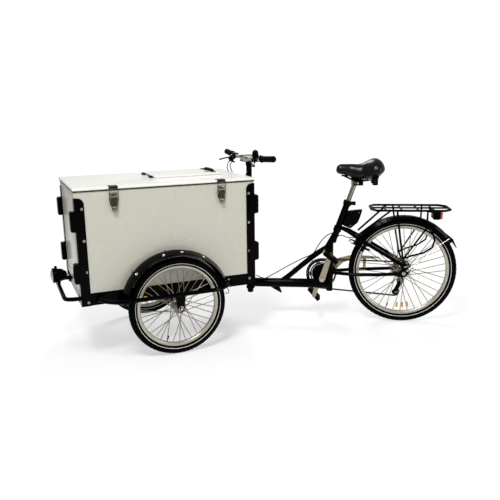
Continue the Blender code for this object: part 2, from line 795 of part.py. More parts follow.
def bar_point(y):
    """Centre of the straight outer part of the bar at a distance y from the middle."""
    end = Vector(BAR_ROUTE[0])
    start = Vector(BAR_ROUTE[1])
    return start + (end - start) * ((y - start.y) / (end.y - start.y))


def make_handlebar():
    left = [(x, -y, z) for x, y, z in BAR_ROUTE]
    body = tube(BAR_ROUTE + left[::-1], BAR_R, 2)
    top = COLUMN_TOP + SEAT
    pieces = [block((-0.046, 0.017), (-0.021, 0.021), (top, COLUMN_TOP + 0.040), 0.006)]
    for side in (-1, 1):
        x, y, z = LEVER_PIVOT
        ys = sorted((side * 0.137, side * 0.163))
        pieces.append(block((-0.037, -0.004), ys, (COLUMN_TOP + 0.011, COLUMN_TOP + 0.039), 0.003))
        pieces.append(
            block(
                (x + 0.0078, -0.030), sorted((side * (y - 0.007), side * (y + 0.007))),
                (z - 0.0075, z + 0.0075)
            )
        )
        for low in (-0.0085, 0.0050):
            pieces.append(
                block(
                    (x - 0.0050, x + 0.0120), sorted((side * (y - 0.006), side * (y + 0.006))),
                    (z + low, z + low + 0.0035)
                )
            )
    knob = (-0.026, -0.150, COLUMN_TOP + 0.034)
    pieces.append(rod(knob, (knob[0], knob[1], COLUMN_TOP + 0.070), 0.016, 10, 0.011))
    shifter = (-0.020, 0.186, COLUMN_TOP + 0.018)
    pieces.append(rod(shifter, (-0.040, 0.190, COLUMN_TOP - 0.006), 0.017, 10, 0.014))
    body = fuse(body, *pieces)
    x, y, z = LEVER_PIVOT
    bores = [rod((x, side * y, z - 0.02), (x, side * y, z + 0.02), 0.0024, 8) for side in (-1, 1)]
    node("handlebar", cut(body, *bores), ALLOY, FRONT)
    for name, side in (("grip_left", -1), ("grip_right", 1)):
        inner = bar_point(BAR_HALF + 0.0035 - GRIP_LENGTH)
        outer = bar_point(BAR_HALF + 0.0035)
        along = (outer - inner).normalized()
        grip = rod(inner, outer, GRIP_R, 12)
        ribs = [rod(inner + along * s, inner + along * (s + 0.004), GRIP_R + 0.0012, 12) for s in (0.0,)]
        grip = fuse(grip, *ribs)
        grip = cut(
            grip,
            rod(inner - along * 0.01, bar_point(BAR_HALF) + along * 0.0003, BAR_R + 0.0006, 10)
        )
        node(name, mirrored(grip) if side < 0 else grip, RUBBER, FRONT)
    for name, side in (("brake_lever_left", -1), ("brake_lever_right", 1)):
        route = [
            (x, y, z), (x - 0.014, y + 0.022, z - 0.004), (x - 0.029, y + 0.060, z - 0.012),
            (x - 0.033, y + 0.102, z - 0.020)
        ]
        blade = tube(rounded(route, 0.03, 2), 0.0044, 1)
        hub = rod((x, y, z - 0.0045), (x, y, z + 0.0045), 0.0070, 8)
        pin = rod((x, y, z - 0.0090), (x, y, z + 0.0090), 0.0019, 6)
        lever = fuse(
            hub, blade, pin,
            block((x - 0.0375, x - 0.0285), (y + 0.098, y + 0.106), (z - 0.0245, z - 0.0155))
        )
        lever = mirrored(lever) if side < 0 else lever
        node(name, lever, BLACK_SATIN, FRONT, (x, side * y, z))


def make_front_cables():
    routes = [
        [
            (-0.0300, -0.1500, 0.9362), (-0.0300, -0.1500, 0.9290), (-0.066, -0.140, 0.900),
            (-0.062, -0.080, 0.850), (-0.046, -0.020, 0.700), (-0.042, -0.016, 0.430),
            (-0.032, -0.014, 0.362)
        ],
        [
            (-0.0300, 0.1500, 0.9362), (-0.0300, 0.1500, 0.9290), (-0.067, 0.145, 0.900),
            (-0.060, 0.095, 0.862), (-0.047, 0.024, 0.700), (-0.042, 0.014, 0.430),
            (-0.032, 0.012, 0.362)
        ],
        [
            (-0.0402, 0.1900, 0.9197), (-0.0527, 0.1925, 0.9048), (-0.064, 0.180, 0.870),
            (-0.056, 0.080, 0.830), (-0.050, 0.006, 0.690), (-0.047, 0.000, 0.430),
            (-0.034, -0.001, 0.362)
        ],
    ]
    cables = [tube(rounded(route, 0.07, 2), 0.0025, 0) for route in routes]
    ties = [block((-0.052, -0.0386), (-0.020, 0.020), (z, z + 0.008)) for z in (0.430, 0.600)]
    node("control_cables_front", fuse(cables[0], *cables[1:], *ties), RUBBER, FRONT)


# Wheels


def spokes(count, flange_r, flanges, rim_r):
    """Crossed spokes from two hub flanges to the rim, standing on the Y axis."""
    bars = []
    per_side = count // 2
    step = 2 * math.pi / per_side
    for side, flange in enumerate(flanges):
        for k in range(per_side):
            rim_angle = step * (k + side / 2)
            lead = math.radians(60.0) if k % 2 else -math.radians(60.0)
            hub_angle = rim_angle + lead
            weave = 0.0029 if k % 2 else -0.0029
            start = (flange_r * math.cos(hub_angle), flange + weave, flange_r * math.sin(hub_angle))
            end = (rim_r * math.cos(rim_angle), 0.003 * (1 - 2 * side), rim_r * math.sin(rim_angle))
            bars.append(rod(start, end, 0.0015, 3))
    return bars


def make_wheel(
    name, tyre_name, centre, radius, rim_r, facets, count, hub, flange_r, flanges, parent, extra=()
):
    """A spoked wheel and its tyre. Both carry a flat facet at the bottom, which rests on the ground."""
    half_step = math.pi / facets
    vertex_r = radius / math.cos(half_step)
    rim = [
        (rim_r, -0.0125),
        (rim_r, 0.0125),
        (rim_r - 0.0165, 0.0060),
        (rim_r - 0.0165, -0.0060),
    ]
    body = moved(turned(rim, facets, "Y"), turn=half_step, axis="Y")
    body = fuse(body, turned(hub, 12, "Y"), *extra, *spokes(count, flange_r, flanges, rim_r - 0.012))
    node(name, moved(body, centre), ALLOY, parent, centre)
    half = TYRE / 2
    seat = rim_r + 0.0004
    tyre = [(seat, 0.0115), (seat + 0.021, half), (vertex_r, 0.0085)]
    tyre += [(r, -h) for r, h in tyre[::-1]]
    shape = moved(turned(tyre, facets, "Y"), turn=half_step, axis="Y")
    node(tyre_name, moved(shape, centre), RUBBER, parent, centre)


def make_front_wheels():
    bore = AXLE_R + 0.0006
    hub = [
        (bore, -0.0675),
        (0.0100, -0.0675),
        (0.0130, -0.0480),
        (0.0435, -0.0345),
        (0.0435, -0.0255),
        (0.0200, -0.0190),
        (0.0200, 0.0190),
        (0.0435, 0.0255),
        (0.0435, 0.0345),
        (0.0140, 0.0410),
        (0.0100, 0.0480),
        (bore, 0.0480),
    ]
    for tag, side in (("left", -1), ("right", 1)):
        profile = hub if side > 0 else [(r, -h) for r, h in hub]
        make_wheel(
            "front_wheel_" + tag,
            "front_tyre_" + tag,
            (FRONT_X, side * WHEEL_Y, FRONT_R),
            FRONT_R,
            FRONT_RIM,
            FRONT_FACETS,
            FRONT_SPOKES,
            profile,
            0.0350,
            (-0.030, 0.030),
            FRONT,
        )


HUB_END = 0.0232


def make_rear_wheel():
    bore = AXLE_R + 0.0006
    hub = [
        (bore, -0.0620),
        (0.0090, -0.0620),
        (0.0110, -0.0420),
        (0.0300, -0.0375),
        (0.0300, -0.0285),
        (0.0160, -0.0240),
        (0.0160, 0.0020),
        (0.0300, 0.0075),
        (0.0300, 0.0165),
        (0.0125, 0.0195),
        (0.0115, HUB_END),
        (bore, HUB_END),
    ]
    guard = turned([(0.0110, 0.0205), (0.0700, 0.0205), (0.0700, 0.0220), (0.0110, 0.0220)], 16, "Y")
    make_wheel(
        "rear_wheel",
        "rear_tyre",
        (REAR_X, 0.0, REAR_R),
        REAR_R,
        REAR_RIM,
        REAR_FACETS,
        REAR_SPOKES,
        hub,
        0.0240,
        (-0.033, 0.012),
        REAR,
        (guard,),
    )


# Rear frame


def seat_axis(z, y=0.0):
    """A point of the seat tube's centre line."""
    return Vector((SEAT_FOOT[0] + (z - SEAT_FOOT[1]) * math.tan(SEAT_LEAN), y, z))


SEAT_FOOT = (0.470, 0.440)
LOWER_X = 0.4655
AXLE = (REAR_X, 0.0, REAR_R)


def make_rear_frame():
    body = tube([(0.0, 0.0, MAIN_Z), (LOWER_X, 0.0, MAIN_Z)], MAIN_R, 4)
    pieces = [rod((0.0, 0.0, HEAD_BOTTOM), (0.0, 0.0, HEAD_TOP), HEAD_R, 14)]
    for z in (HEAD_BOTTOM, HEAD_TOP - 0.012):
        pieces.append(rod((0.0, 0.0, z), (0.0, 0.0, z + 0.012), HEAD_R + 0.003, 14))
    pieces.append(rod((LOWER_X, 0.0, 0.174), (LOWER_X, 0.0, 0.455), SEAT_TUBE_R, 12))
    pieces.append(rod((CRANK_X, -0.036, CRANK_Z), (CRANK_X, 0.036, CRANK_Z), 0.021, 12))
    top = seat_axis(0.700)
    route = [
        (0.165, 0.0, 0.212), (0.222, 0.0, 0.252), (0.308, 0.0, 0.329), (0.398, 0.0, 0.402),
        (0.452, 0.0, 0.436)
    ]
    pieces.append(tube(rounded(route, 0.05, 2), CURVED_R, 2))
    pieces.append(rod((0.452, 0.0, 0.436), seat_axis(0.520), SEAT_TUBE_R - 0.0005, 12))
    pieces.append(rod(seat_axis(0.465), top, SEAT_TUBE_R, 12))
    pieces.append(rod(seat_axis(0.680), seat_axis(0.704), SEAT_TUBE_R + 0.005, 12))
    pieces.append(block((0.578, 0.603), (-0.011, 0.011), (0.680, 0.699)))
    pieces.append(rod((0.5925, -0.0220, 0.6895), (0.5925, 0.0180, 0.6895), 0.0032, 8))
    fin = [(0.108, 0.196), (0.181, 0.153), (0.187, 0.156), (0.172, 0.196)]
    pieces.append(plate([fin], 0.004))
    body = fuse(body, *pieces)
    axis = (seat_axis(0.730) - seat_axis(0.600)).normalized()
    bores = [
        rod((0.0, 0.0, 0.1), (0.0, 0.0, 0.4), SPINDLE_R + 0.0005, 16),
        rod((CRANK_X, -0.1, CRANK_Z), (CRANK_X, 0.1, CRANK_Z), 0.0095, 12),
        rod(top - axis * 0.190, top + axis * 0.060, POST_R + 0.0006, 12),
    ]
    node("rear_frame", cut(body, *bores), BLACK_STEEL, REAR)


POST_R = 0.0135
LOW_COLLAR = (0.273, 0.301)
HIGH_COLLAR = (0.530, 0.556)
STAY_BRIDGE = (0.6135, 0.5032)


def by_axle(x, z):
    """A place beside the rear axle."""
    return (REAR_X + x, REAR_R + z)


def round_axle(radius, degrees):
    """A place at a radius and an angle about the rear axle."""
    angle = math.radians(degrees)
    return by_axle(radius * math.cos(angle), radius * math.sin(angle))


def at_side(place, y):
    return (place[0], y, place[1])


CHAIN_STAY = [
    (0.478, 0.012, 0.287), (0.520, 0.034, 0.287), (0.600, 0.058, 0.288),
    at_side(by_axle(-0.156, -0.0125), DROPOUT_Y), at_side(by_axle(-0.036, -0.0065), DROPOUT_Y)
]


def chain_stay_height(x):
    """Height of the middle of the chain stays at a distance x behind the steering axis."""
    for first, last in zip(CHAIN_STAY, CHAIN_STAY[1:]):
        if x <= last[0]:
            return first[2] + (last[2] - first[2]) * (x - first[0]) / (last[0] - first[0])
    return CHAIN_STAY[-1][2]


def make_stays():
    low = rod((LOWER_X, 0.0, LOW_COLLAR[0]), (LOWER_X, 0.0, LOW_COLLAR[1]), SEAT_TUBE_R + 0.0038, 12)
    high = rod(seat_axis(HIGH_COLLAR[0]), seat_axis(HIGH_COLLAR[1]), SEAT_TUBE_R + 0.0038, 12)
    pieces = [high]
    for side in (-1, 1):
        seat_side = [
            (0.528, 0.010, 0.548), (0.566, 0.034, 0.532), (0.625, 0.060, 0.496),
            at_side(by_axle(-0.176, 0.1475), DROPOUT_Y), at_side(by_axle(-0.008, 0.0465), DROPOUT_Y)
        ]
        for route in (CHAIN_STAY, seat_side):
            pieces.append(tube([(x, side * y, z) for x, y, z in route], STAY_R, 1))
        drop = [
            (-0.044, -0.0145), (-0.014, -0.0235), (0.014, -0.0195), (0.026, -0.0005), (0.026, 0.0225),
            (0.008, 0.0485), (-0.014, 0.0585), (-0.020, 0.0445), (-0.010, 0.0265), (-0.018, 0.0065),
            (-0.044, 0.0015)
        ]
        pieces.append(plate([[by_axle(x, z) for x, z in drop]], 0.006, side * DROPOUT_Y))
    pieces.append(rod((REAR_X, -0.081, REAR_R), (REAR_X, 0.081, REAR_R), AXLE_R, 10))
    for side in (-1, 1):
        pieces.append(rod((REAR_X, side * DROPOUT_Y, REAR_R), (REAR_X, side * 0.0775, REAR_R), 0.0100, 6))
    x, z = STAY_BRIDGE
    pieces.append(rod((x, -0.058, z), (x, 0.058, z), 0.006, 8))
    body = fuse(low, *pieces)
    bores = [
        rod(
            (LOWER_X, 0.0, LOW_COLLAR[0] - 0.05), (LOWER_X, 0.0, LOW_COLLAR[1] + 0.05),
            SEAT_TUBE_R + SEAT, 12
        ),
        rod(
            seat_axis(HIGH_COLLAR[0] - 0.05), seat_axis(HIGH_COLLAR[1] + 0.05), SEAT_TUBE_R + SEAT, 12
        ),
    ]
    node("rear_stays", cut(body, *bores), BLACK_STEEL, REAR)


QR_PIVOT = (0.5925, -0.0295, 0.6895)


def make_seat():
    axis = (seat_axis(0.730) - seat_axis(0.600)).normalized()
    pivot = Vector(QR_PIVOT)
    cam = rod(pivot - axis * 0.006, pivot + axis * 0.006, 0.0070, 12)
    tip = pivot + Vector((-0.058, -0.004, 0.0225))
    blade = tube([pivot, pivot + Vector((-0.020, -0.0045, 0.0077)), tip], 0.0036, 2)
    node("seat_release_lever", fuse(cam, blade), BLACK_SATIN, REAR, QR_PIVOT)
    foot = seat_axis(0.700) - axis * 0.170
    head = seat_axis(0.806)
    body = rod(foot, head, POST_R, 12)
    x, _, z = head
    pieces = [block((x - 0.021, x + 0.021), (-0.024, 0.024), (z - 0.012, z + 0.014))]
    pieces.append(rod((x, -0.030, z + 0.001), (x, 0.030, z + 0.001), 0.006, 8))
    for side in (-1, 1):
        route = [
            (0.532, side * 0.010, 0.8455), (0.575, side * 0.018, 0.826),
            (x - 0.012, side * 0.0215, z + 0.010), (x + 0.030, side * 0.0215, z + 0.010),
            (0.700, side * 0.040, 0.829), (0.7035, side * 0.044, 0.8375)
        ]
        pieces.append(tube(route, 0.0035, 0))
        pieces.append(rod((0.7035, side * 0.044, 0.7985), (0.7035, side * 0.044, 0.8415), 0.0150, 8))
    pieces.append(rod((0.7035, -0.044, 0.829), (0.7035, 0.044, 0.829), 0.0035, 6))
    node("seat_post", fuse(body, *pieces), CHROME, REAR, tuple(seat_axis(0.700)))
    node("saddle", saddle_shape(), VINYL, REAR, tuple(seat_axis(0.806)))


def along_profile(table, t):
    """Smooth value at t of a profile given as (t, value) knots."""
    for (t0, v0), (t1, v1) in zip(table, table[1:]):
        if t <= t1:
            share = (t - t0) / (t1 - t0)
            share = share * share * (3 - 2 * share)
            return v0 + (v1 - v0) * share
    return table[-1][1]


SADDLE_FRONT = 0.4835
SADDLE_REAR = 0.7505
SADDLE_WIDTH = [(0.0, 0.017), (0.25, 0.024), (0.50, 0.044), (0.78, 0.093), (0.90, 0.099), (1.0, 0.088)]
SADDLE_HIGH = [(0.0, 0.884), (0.20, 0.902), (0.48, 0.911), (0.78, 0.937), (0.92, 0.931), (1.0, 0.905)]
SADDLE_LOW = [(0.0, 0.856), (0.30, 0.846), (0.55, 0.838), (1.0, 0.832)]


def saddle_shape():
    """A padded saddle: narrow nose, wide crowned seat with a shallow middle channel and drawn-in sides."""
    bm = bmesh.new()
    bmesh.ops.create_uvsphere(bm, u_segments=22, v_segments=18, radius=1.0)
    bm.transform(Matrix.Rotation(math.pi / 2, 4, "Y"))
    for vert in bm.verts:
        sx, sy, sz = vert.co
        ring = math.sqrt(max(0.0, 1 - sx * sx))
        t = 0.5 + 0.5 * math.copysign(abs(sx) ** 1.15, sx)
        full = ring**0.45
        angle = math.atan2(sz, sy)
        c = math.cos(angle)
        s = math.sin(angle)
        wide = along_profile(SADDLE_WIDTH, t) * full
        high = along_profile(SADDLE_HIGH, t)
        low = along_profile(SADDLE_LOW, t)
        waist = low + (high - low) * 0.34
        across = math.copysign(abs(c) ** 0.72, c)
        if s >= 0:
            rise = abs(s) ** 0.85
            dip = 0.0035 * math.exp(-((across * wide / 0.016) ** 2)) * min(1.0, max(0.0, (t - 0.30) / 0.2))
            z = waist + (high - waist) * full * rise - dip * rise
            y = across * wide
        else:
            z = waist - (waist - low) * full * abs(s) ** 0.5
            y = across * wide * (1 - 0.10 * abs(s))
        vert.co = (SADDLE_FRONT + (SADDLE_REAR - SADDLE_FRONT) * t, y, z)
    bmesh.ops.recalc_face_normals(bm, faces=bm.faces)
    body = shape_of(bm)
    return cut(body, block((0.62, 0.80), (-0.2, 0.2), (0.75, 0.8418)))


# Drive


def pitch_radius(teeth):
    return teeth * PITCH / (2 * math.pi)


def toothed(teeth, phase, centre):
    """Outline of a sprocket. A chain pin sits at the phase angle, between two teeth."""
    radius = pitch_radius(teeth)
    step = 2 * math.pi / teeth
    points = []
    for i in range(teeth):
        middle = phase + step * (i + 0.5)
        for offset, r in ((-0.0030, -0.0048), (0.0, TOOTH_TIP), (0.0030, -0.0048)):
            angle = middle + offset / radius
            points.append(
                (centre[0] + (radius + r) * math.cos(angle), centre[1] + (radius + r) * math.sin(angle))
            )
    return points


def link_route():
    """Points of the chain's pitch line at every pin, and the angle of a pin on the ring and the sprocket."""
    total, legs = belt((TENSION_PULLEY[0], TENSION_PULLEY[1]))
    count = round(total / PITCH)
    best = None
    for i in range(-120, 121):
        place = (TENSION_PULLEY[0] - 0.0002 * i, TENSION_PULLEY[1])
        length, found = belt(place)
        error = abs(length - count * PITCH)
        if best is None or error < best[0]:
            best = (error, place, found, length)
    _, place, legs, length = best
    pins = []
    bends = []
    spacing = length / count
    for i in range(count):
        pins.append(point_on(legs, i * spacing))
    walked = 0.0
    for leg in legs:
        if leg[0] == "line":
            bends.append(point_on(legs, walked + 1e-7))
        else:
            pieces = max(2, math.ceil(leg[1] / 0.0180))
            bends += [point_on(legs, walked + leg[1] * j / pieces + 1e-7) for j in range(pieces)]
        walked += leg[1]
    return pins, bends, place


def belt(tension):
    wheels = [
        ((CRANK_X, CRANK_Z), pitch_radius(RING_TEETH), -1),
        ((REAR_X, REAR_R), pitch_radius(DRIVEN), -1),
        (GUIDE_PULLEY, pitch_radius(PULLEY_TEETH), 1),
        (tension, pitch_radius(PULLEY_TEETH), -1),
    ]
    legs = []
    tangents = []
    for (a, ra, sa), (b, rb, sb) in zip(wheels, wheels[1:] + wheels[:1]):
        gap = math.hypot(b[0] - a[0], b[1] - a[1])
        heading = math.atan2(b[1] - a[1], b[0] - a[0]) - math.asin((sb * rb - sa * ra) / gap)
        nx, nz = -math.sin(heading), math.cos(heading)
        first = (a[0] - sa * nx * ra, a[1] - sa * nz * ra)
        last = (b[0] - sb * nx * rb, b[1] - sb * nz * rb)
        tangents.append((first, last))
    total = 0.0
    for i, (first, last) in enumerate(tangents):
        run = math.hypot(last[0] - first[0], last[1] - first[1])
        legs.append(("line", run, first, last))
        centre, radius, turn = wheels[(i + 1) % 4]
        leave = tangents[(i + 1) % 4][0]
        start = math.atan2(last[1] - centre[1], last[0] - centre[0])
        end = math.atan2(leave[1] - centre[1], leave[0] - centre[0])
        sweep = (turn * (end - start)) % (2 * math.pi)
        legs.append(("arc", radius * sweep, centre, radius, start, turn))
        total += run + radius * sweep
    return total, legs


def point_on(legs, distance):
    for leg in legs:
        if distance <= leg[1]:
            if leg[0] == "line":
                share = distance / leg[1]
                return tuple(a + (b - a) * share for a, b in zip(leg[2], leg[3]))
            angle = leg[4] + leg[5] * distance / leg[3]
            return (leg[2][0] + leg[3] * math.cos(angle), leg[2][1] + leg[3] * math.sin(angle))
        distance -= leg[1]
    return point_on(legs, 0.0)


def offset_loop(points, distance):
    """The loop moved sideways by a distance along the mean normal of each corner."""
    loop = []
    for before, here, after in zip(points[-1:] + points[:-1], points, points[1:] + points[:1]):
        tangent = Vector((after[0] - before[0], after[1] - before[1])).normalized()
        loop.append((here[0] - tangent.y * distance, here[1] + tangent.x * distance))
    return loop


PINS, BENDS, TENSION_AT = link_route()
BEND_MARGIN = 0.036
RUNS = [leg[2:] for leg in belt(TENSION_AT)[1] if leg[0] == "line"]


def on_bend(pin):
    """Whether a pin lies on a sprocket or a pulley, or just beside it."""
    for first, last in RUNS:
        run = Vector(last) - Vector(first)
        share = (Vector(pin) - Vector(first)).dot(run) / run.length_squared
        off = (Vector(first) + run * share - Vector(pin)).length
        if off < 0.0005 and BEND_MARGIN - 0.002 < share * run.length < run.length - BEND_MARGIN + 0.002:
            return False
    return True


def clear_of_teeth(pin):
    """Whether a roller at this pin stays out of the circles that the turning teeth sweep."""
    for centre, teeth in (((CRANK_X, CRANK_Z), RING_TEETH), ((REAR_X, REAR_R), DRIVEN)):
        reach = pitch_radius(teeth) + TOOTH_TIP + ROLLER_R + 2 * SEAT
        if math.hypot(pin[0] - centre[0], pin[1] - centre[1]) < reach:
            return False
    return True


def pin_phase(centre, radius):
    """Angle about centre of a chain pin that lies on this pitch circle."""
    near = min(PINS, key=lambda p: abs(math.hypot(p[0] - centre[0], p[1] - centre[1]) - radius))
    return math.atan2(near[1] - centre[1], near[0] - centre[0])


def link_plate(a, b, ra, rb, thickness, y):
    """A flat link with round ends of radius ra and rb about the points a and b."""
    heading = math.atan2(b[1] - a[1], b[0] - a[0])
    gap = math.hypot(b[0] - a[0], b[1] - a[1])
    lean = math.acos((ra - rb) / gap)
    points = []
    for centre, radius, start, end in (
        (b, rb, heading - lean, heading + lean),
        (a, ra, heading + lean, heading - lean + 2 * math.pi)
    ):
        for i in range(5):
            angle = start + (end - start) * i / 4
            points.append((centre[0] + radius * math.cos(angle), centre[1] + radius * math.sin(angle)))
    return plate([points], thickness, y)


def make_chain():
    sides = []
    for y in (CHAIN_Y - 0.0028, CHAIN_Y + 0.0028):
        sides.append(plate([offset_loop(BENDS, 0.0040), offset_loop(BENDS, -0.0040)], 0.0012, y))
    rollers = [
        rod((x, CHAIN_Y - 0.0029, z), (x, CHAIN_Y + 0.0029, z), ROLLER_R, 4)
        for x, z in PINS
        if on_bend((x, z)) and clear_of_teeth((x, z))
    ]
    for first, last in RUNS:
        run = Vector(last) - Vector(first)
        if run.length < 3 * BEND_MARGIN:
            continue
        along = run.normalized() * BEND_MARGIN
        a = Vector(first) + along
        b = Vector(last) - along
        rollers.append(link_plate(a, b, 0.0024, 0.0024, 0.0050, CHAIN_Y))
    node("chain", fuse(sides[0], sides[1], *rollers), DARK_STEEL, REAR)


def make_crankset():
    centre = (CRANK_X, CRANK_Z)
    radius = pitch_radius(RING_TEETH)
    outline = toothed(RING_TEETH, pin_phase(centre, radius), centre)
    windows = []
    for i in range(5):
        middle = CRANK_ANGLE + math.pi + math.pi / 5 + 2 * math.pi / 5 * i
        outer = [(0.077, middle + 0.48 - 0.32 * j) for j in range(4)]
        inner = [(0.036, middle - 0.34 + 0.68 * j) for j in range(2)]
        windows.append(
            [(centre[0] + r * math.cos(a), centre[1] + r * math.sin(a)) for r, a in outer + inner]
        )
    ring = plate([outline, *windows], 0.0024, CHAIN_Y)
    spider = rod((CRANK_X, CHAIN_Y - 0.002, CRANK_Z), (CRANK_X, 0.070, CRANK_Z), 0.0170, 12)
    pieces = [ring, rod((CRANK_X, -0.078, CRANK_Z), (CRANK_X, 0.078, CRANK_Z), 0.0085, 12)]
    for side in (-1, 1):
        turn = CRANK_ANGLE if side < 0 else CRANK_ANGLE + math.pi
        x = CRANK_X + CRANK_LENGTH * math.cos(turn)
        z = CRANK_Z + CRANK_LENGTH * math.sin(turn)
        pieces.append(link_plate(centre, (x, z), 0.0175, 0.0120, 0.0110, side * 0.0745))
        pieces.append(rod((x, side * 0.0750, z), (x, side * 0.1620, z), 0.0045, 10))
    node("crankset", fuse(spider, *pieces), ALLOY, REAR, (CRANK_X, 0.0, CRANK_Z))


PEDAL_TILT = (math.radians(-39.0), math.radians(-49.0))


def make_pedal(name, side):
    turn = CRANK_ANGLE if side < 0 else CRANK_ANGLE + math.pi
    x = CRANK_X + CRANK_LENGTH * math.cos(turn)
    z = CRANK_Z + CRANK_LENGTH * math.sin(turn)
    body = block((-0.047, 0.047), (0.0865, 0.1660), (-0.0115, 0.0115), 0.003)
    holes = [
        block(xs, ys, (-0.03, 0.03))
        for xs in ((-0.037, -0.0115), (0.0115, 0.037))
        for ys in ((0.0960, 0.1220), (0.1290, 0.1560))
    ]
    holes.append(rod((0.0, 0.05, 0.0), (0.0, 0.1625, 0.0), 0.0050, 10))
    body = cut(body, *holes)
    body = moved(body, turn=-PEDAL_TILT[0 if side < 0 else 1], axis="Y")
    body = mirrored(body) if side < 0 else body
    node(name, moved(body, (x, 0.0, z)), BLACK_PLASTIC, REAR, (x, side * 0.125, z))


def make_cassette():
    centre = (REAR_X, REAR_R)
    first = CHAIN_Y - 0.005 * SPROCKETS.index(DRIVEN)
    last = first + 0.005 * (len(SPROCKETS) - 1)
    phase = pin_phase(centre, pitch_radius(DRIVEN))
    bore = AXLE_R + 0.0006
    freehub = [
        (bore, HUB_END + 0.0008), (0.0150, HUB_END + 0.0008), (0.0150, first - 0.0014),
        (0.0195, first - 0.0014), (0.0195, last + 0.0016), (0.0105, last + 0.0016),
        (0.0105, DROPOUT_Y - 0.0045), (bore, DROPOUT_Y - 0.0045)
    ]
    core = turned(freehub, 12, "Y", AXLE)
    cogs = []
    for i, teeth in enumerate(SPROCKETS):
        y = first + 0.005 * i
        if teeth == DRIVEN:
            cogs.append(plate([toothed(teeth, phase, centre), circle(centre, 0.0160, 8)], 0.0018, y))
            continue
        radius = pitch_radius(teeth)
        step = math.pi / teeth
        rim = []
        for j in range(teeth * 2):
            r = radius + (0.0028 if j % 2 else -0.0040)
            rim.append(
                (centre[0] + r * math.cos(phase + step * j), centre[1] + r * math.sin(phase + step * j))
            )
        cogs.append(plate([rim, circle(centre, 0.0160, 8)], 0.0018, y))
    node("cassette", fuse(core, *cogs), DARK_STEEL, REAR, AXLE)


def make_derailleur():
    pieces = []
    for y in (CHAIN_Y - 0.0062, CHAIN_Y + 0.0062):
        pieces.append(link_plate(GUIDE_PULLEY, TENSION_AT, 0.0110, 0.0110, 0.0016, y))
    for centre in (GUIDE_PULLEY, TENSION_AT):
        x, z = centre
        pieces.append(rod((x, CHAIN_Y - 0.0060, z), (x, CHAIN_Y + 0.0085, z), 0.0032, 6))
        pieces.append(
            rod((x, CHAIN_Y - 0.0011, z), (x, CHAIN_Y + 0.0011, z), pitch_radius(PULLEY_TEETH) - 0.0050, 10)
        )
    x, z = GUIDE_PULLEY
    hanger = (REAR_X + 0.013, REAR_R - 0.0300)
    pieces.append(link_plate((x, z), (x + 0.003, z + 0.020), 0.0120, 0.0100, 0.0120, CHAIN_Y + 0.0120))
    pieces.append(link_plate((x + 0.003, z + 0.020), hanger, 0.0100, 0.0085, 0.0080, CHAIN_Y + 0.0170))
    pieces.append(
        link_plate(
            hanger, (REAR_X + 0.017, REAR_R - 0.0120), 0.0085, 0.0062, 0.0040,
            DROPOUT_Y + 0.0030 + SEAT + 0.0020
        )
    )
    pieces.append(
        rod((hanger[0], CHAIN_Y + 0.012, hanger[1]), (hanger[0], DROPOUT_Y + 0.006, hanger[1]), 0.0070, 10)
    )
    body = pieces[0]
    node("derailleur", fuse(body, *pieces[1:]), DARK_STEEL, REAR)


def make_chain_guard():
    outline = [
        (0.478, 0.318), (0.488, 0.338), (0.520, 0.358), (0.577, 0.372), (0.690, 0.372),
        (0.752, 0.366), (0.760, 0.356), (0.690, 0.354), (0.600, 0.350), (0.545, 0.330),
        (0.515, 0.300), (0.500, 0.278), (0.488, 0.282)
    ]
    body = plate([outline[::-1]], 0.0022, 0.0572)
    low = chain_stay_height(0.676) + 0.0081
    arm = block((0.660, 0.676), (0.0565, 0.0660), (low, 0.3600))
    node("chain_guard", fuse(body, arm), BEIGE_PLASTIC, REAR)


# Rack, fender and lamp


RACK_Z = 2 * REAR_R + 0.058
RACK_HALF = 0.100


